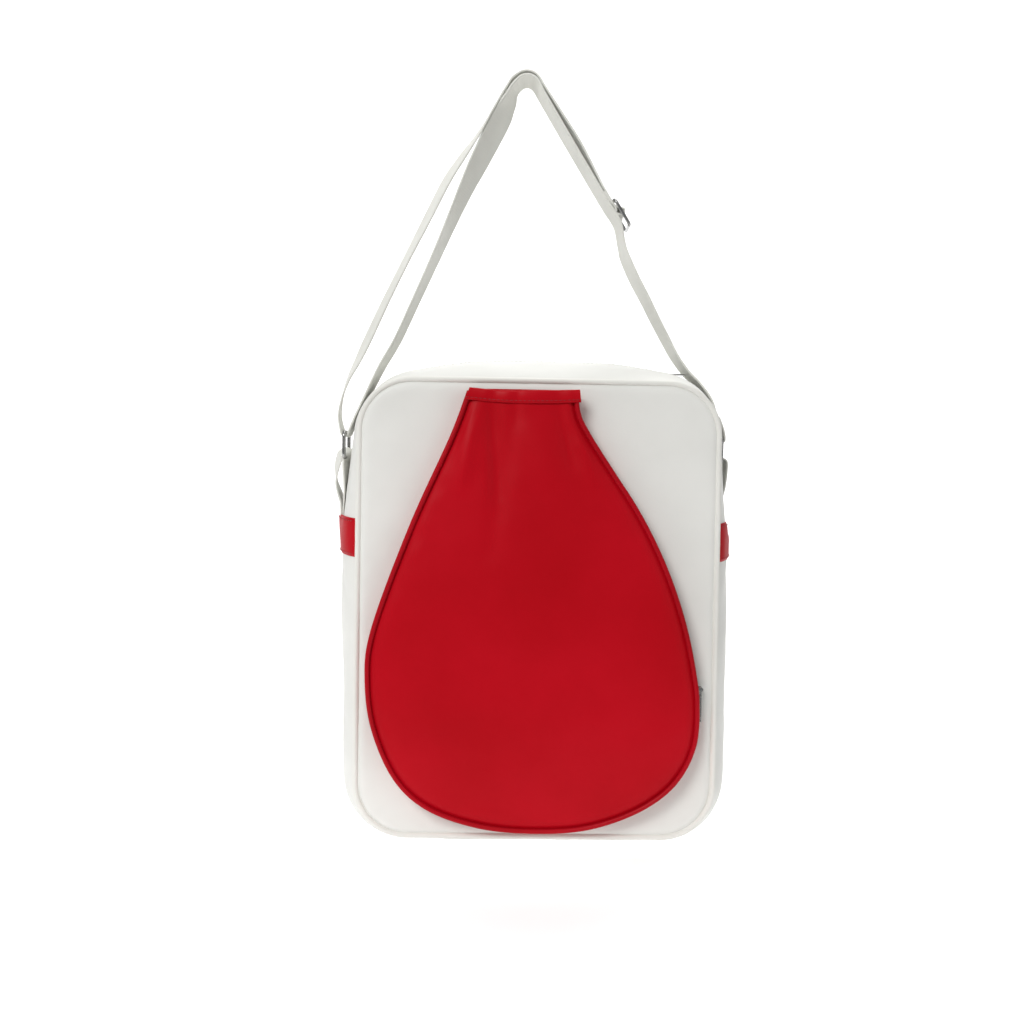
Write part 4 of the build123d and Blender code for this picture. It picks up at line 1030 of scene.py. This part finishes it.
# Round the band's section: the share of its height and the millimetres it stands proud.
section = [(0.0, 0.0), (0.0, 0.7), (0.06, 1.25), (0.16, 1.45), (0.5, 1.7), (0.85, 1.55), (0.96, 1.2),
           (1.0, 0.5), (1.0, -0.4), (0.96, -1.0), (0.85, -1.2), (0.2, -1.2), (0.02, -0.9)]
rim_inside = pocket_distance(collar_low[:, 0], collar_low[:, 1])
collar_y = pocket_front_y(collar_low[:, 0], collar_low[:, 1], np.maximum(rim_inside, 9 * MM)) - 0.5 * MM
rings = []
for up, proud in section:
    x = collar_low[:, 0] + up * (collar_high[:, 0] - collar_low[:, 0])
    h = collar_low[:, 1] + up * (collar_high[:, 1] - collar_low[:, 1])
    wave = 0.25 * MM * ripple(x, h, 81, 0.03)
    rings.append(place(x, collar_y - proud * MM - wave, h))
collar_points = np.stack(rings, axis=1)
ring, total = len(section), COLLAR_COLUMNS * len(section)
collar_faces = grid_faces(COLLAR_COLUMNS, ring, False, True)
collar_faces += [tuple(range(ring))[::-1], tuple(range(total - ring, total))]
collar = add_mesh("pocket_collar_band", collar_points.reshape(-1, 3), collar_faces, RED)
collar.data.set_sharp_from_angle(angle=math.radians(55))
assign(collar, "red_leather", "bag", "pocket_collar")
collar_seam = collar_points[:, 3] + np.array((0, -0.22 * MM, 0.4 * MM))
assign(stitches("pocket_collar_stitches", collar_seam, RED_THREAD), "red_leather", "bag")

# ---- what stays of the CAD: linings, foam and boards inside the bag ----
for node in ("lining_front", "lining_back", "slip_pocket"):
    dress(node, LINING)
for node in ("back_board", "base_board"):
    dress(node, BOARD)
dress("front_foam", FOAM)


# ---- stage ----
SURROUND = 0.28  # the strength of the world's light and of the backdrop's own


def backdrop():
    """A pale floor that curves up into a wall behind the bag."""
    floor_z, front, bend, r, wall = BASE_Z - 0.03, -0.45, 1.2, 0.8, 3.2
    line = [(front, floor_z), (bend, floor_z)]
    for angle in np.radians(np.linspace(6, 90, 15)):
        line.append((bend + r * math.sin(angle), floor_z + r - r * math.cos(angle)))
    line = np.array(line + [(bend + r, floor_z + wall)])
    x = np.linspace(-2.0, 2.0, 12)
    points = np.stack((np.broadcast_to(x[None, :], (len(line), 12)), np.repeat(line[:, :1], 12, 1),
                       np.repeat(line[:, 1:], 12, 1)), axis=-1)
    material, nodes, links, shader = new_material("pale_backdrop", (0.9, 0.9, 0.9), 0.9)
    shader.inputs["Emission Color"].default_value = (1, 1, 1, 1)
    shader.inputs["Emission Strength"].default_value = SURROUND
    spot = nodes.new("ShaderNodeTexCoord").outputs["Object"]
    mottle = texture(nodes, links, "ShaderNodeTexNoise", spot, scale=3.0, detail=2.0)
    tint(nodes, links, mottle.outputs["Fac"], (0.90, 0.90, 0.90), (0.92, 0.92, 0.92), shader)
    piece = add_mesh("backdrop", points.reshape(-1, 3), grid_faces(len(line), 12), material)


def area_light(name, location, target, size, power):
    data = bpy.data.lights.new(name, "AREA")
    data.energy = power
    data.shape = "RECTANGLE"
    data.size, data.size_y = size
    light = bpy.data.objects.new(name, data)
    bpy.context.scene.collection.objects.link(light)
    light.location = location
    light.rotation_euler = (Vector(target) - Vector(location)).to_track_quat("-Z", "Y").to_euler()


backdrop()
centre = tuple(place(0, 0, 0.28))
area_light("key", (-1.1, -2.1, 1.1), centre, (1.1, 1.1), 47)
area_light("fill", (1.8, -1.7, 0.0), centre, (1.6, 1.8), 5)
area_light("top", (0.1, -0.1, 1.3), centre, (1.4, 0.9), 8)
area_light("wall_wash", (0.0, 0.9, 1.6), (0, 1.9, -0.3), (3.4, 0.8), 36)
bpy.context.scene.view_settings.view_transform = "Standard"
world = bpy.data.worlds.new("soft_white")
world.use_nodes = True
world.node_tree.nodes["Background"].inputs["Color"].default_value = (1, 1, 1, 1)
world.node_tree.nodes["Background"].inputs["Strength"].default_value = SURROUND
bpy.context.scene.world = world
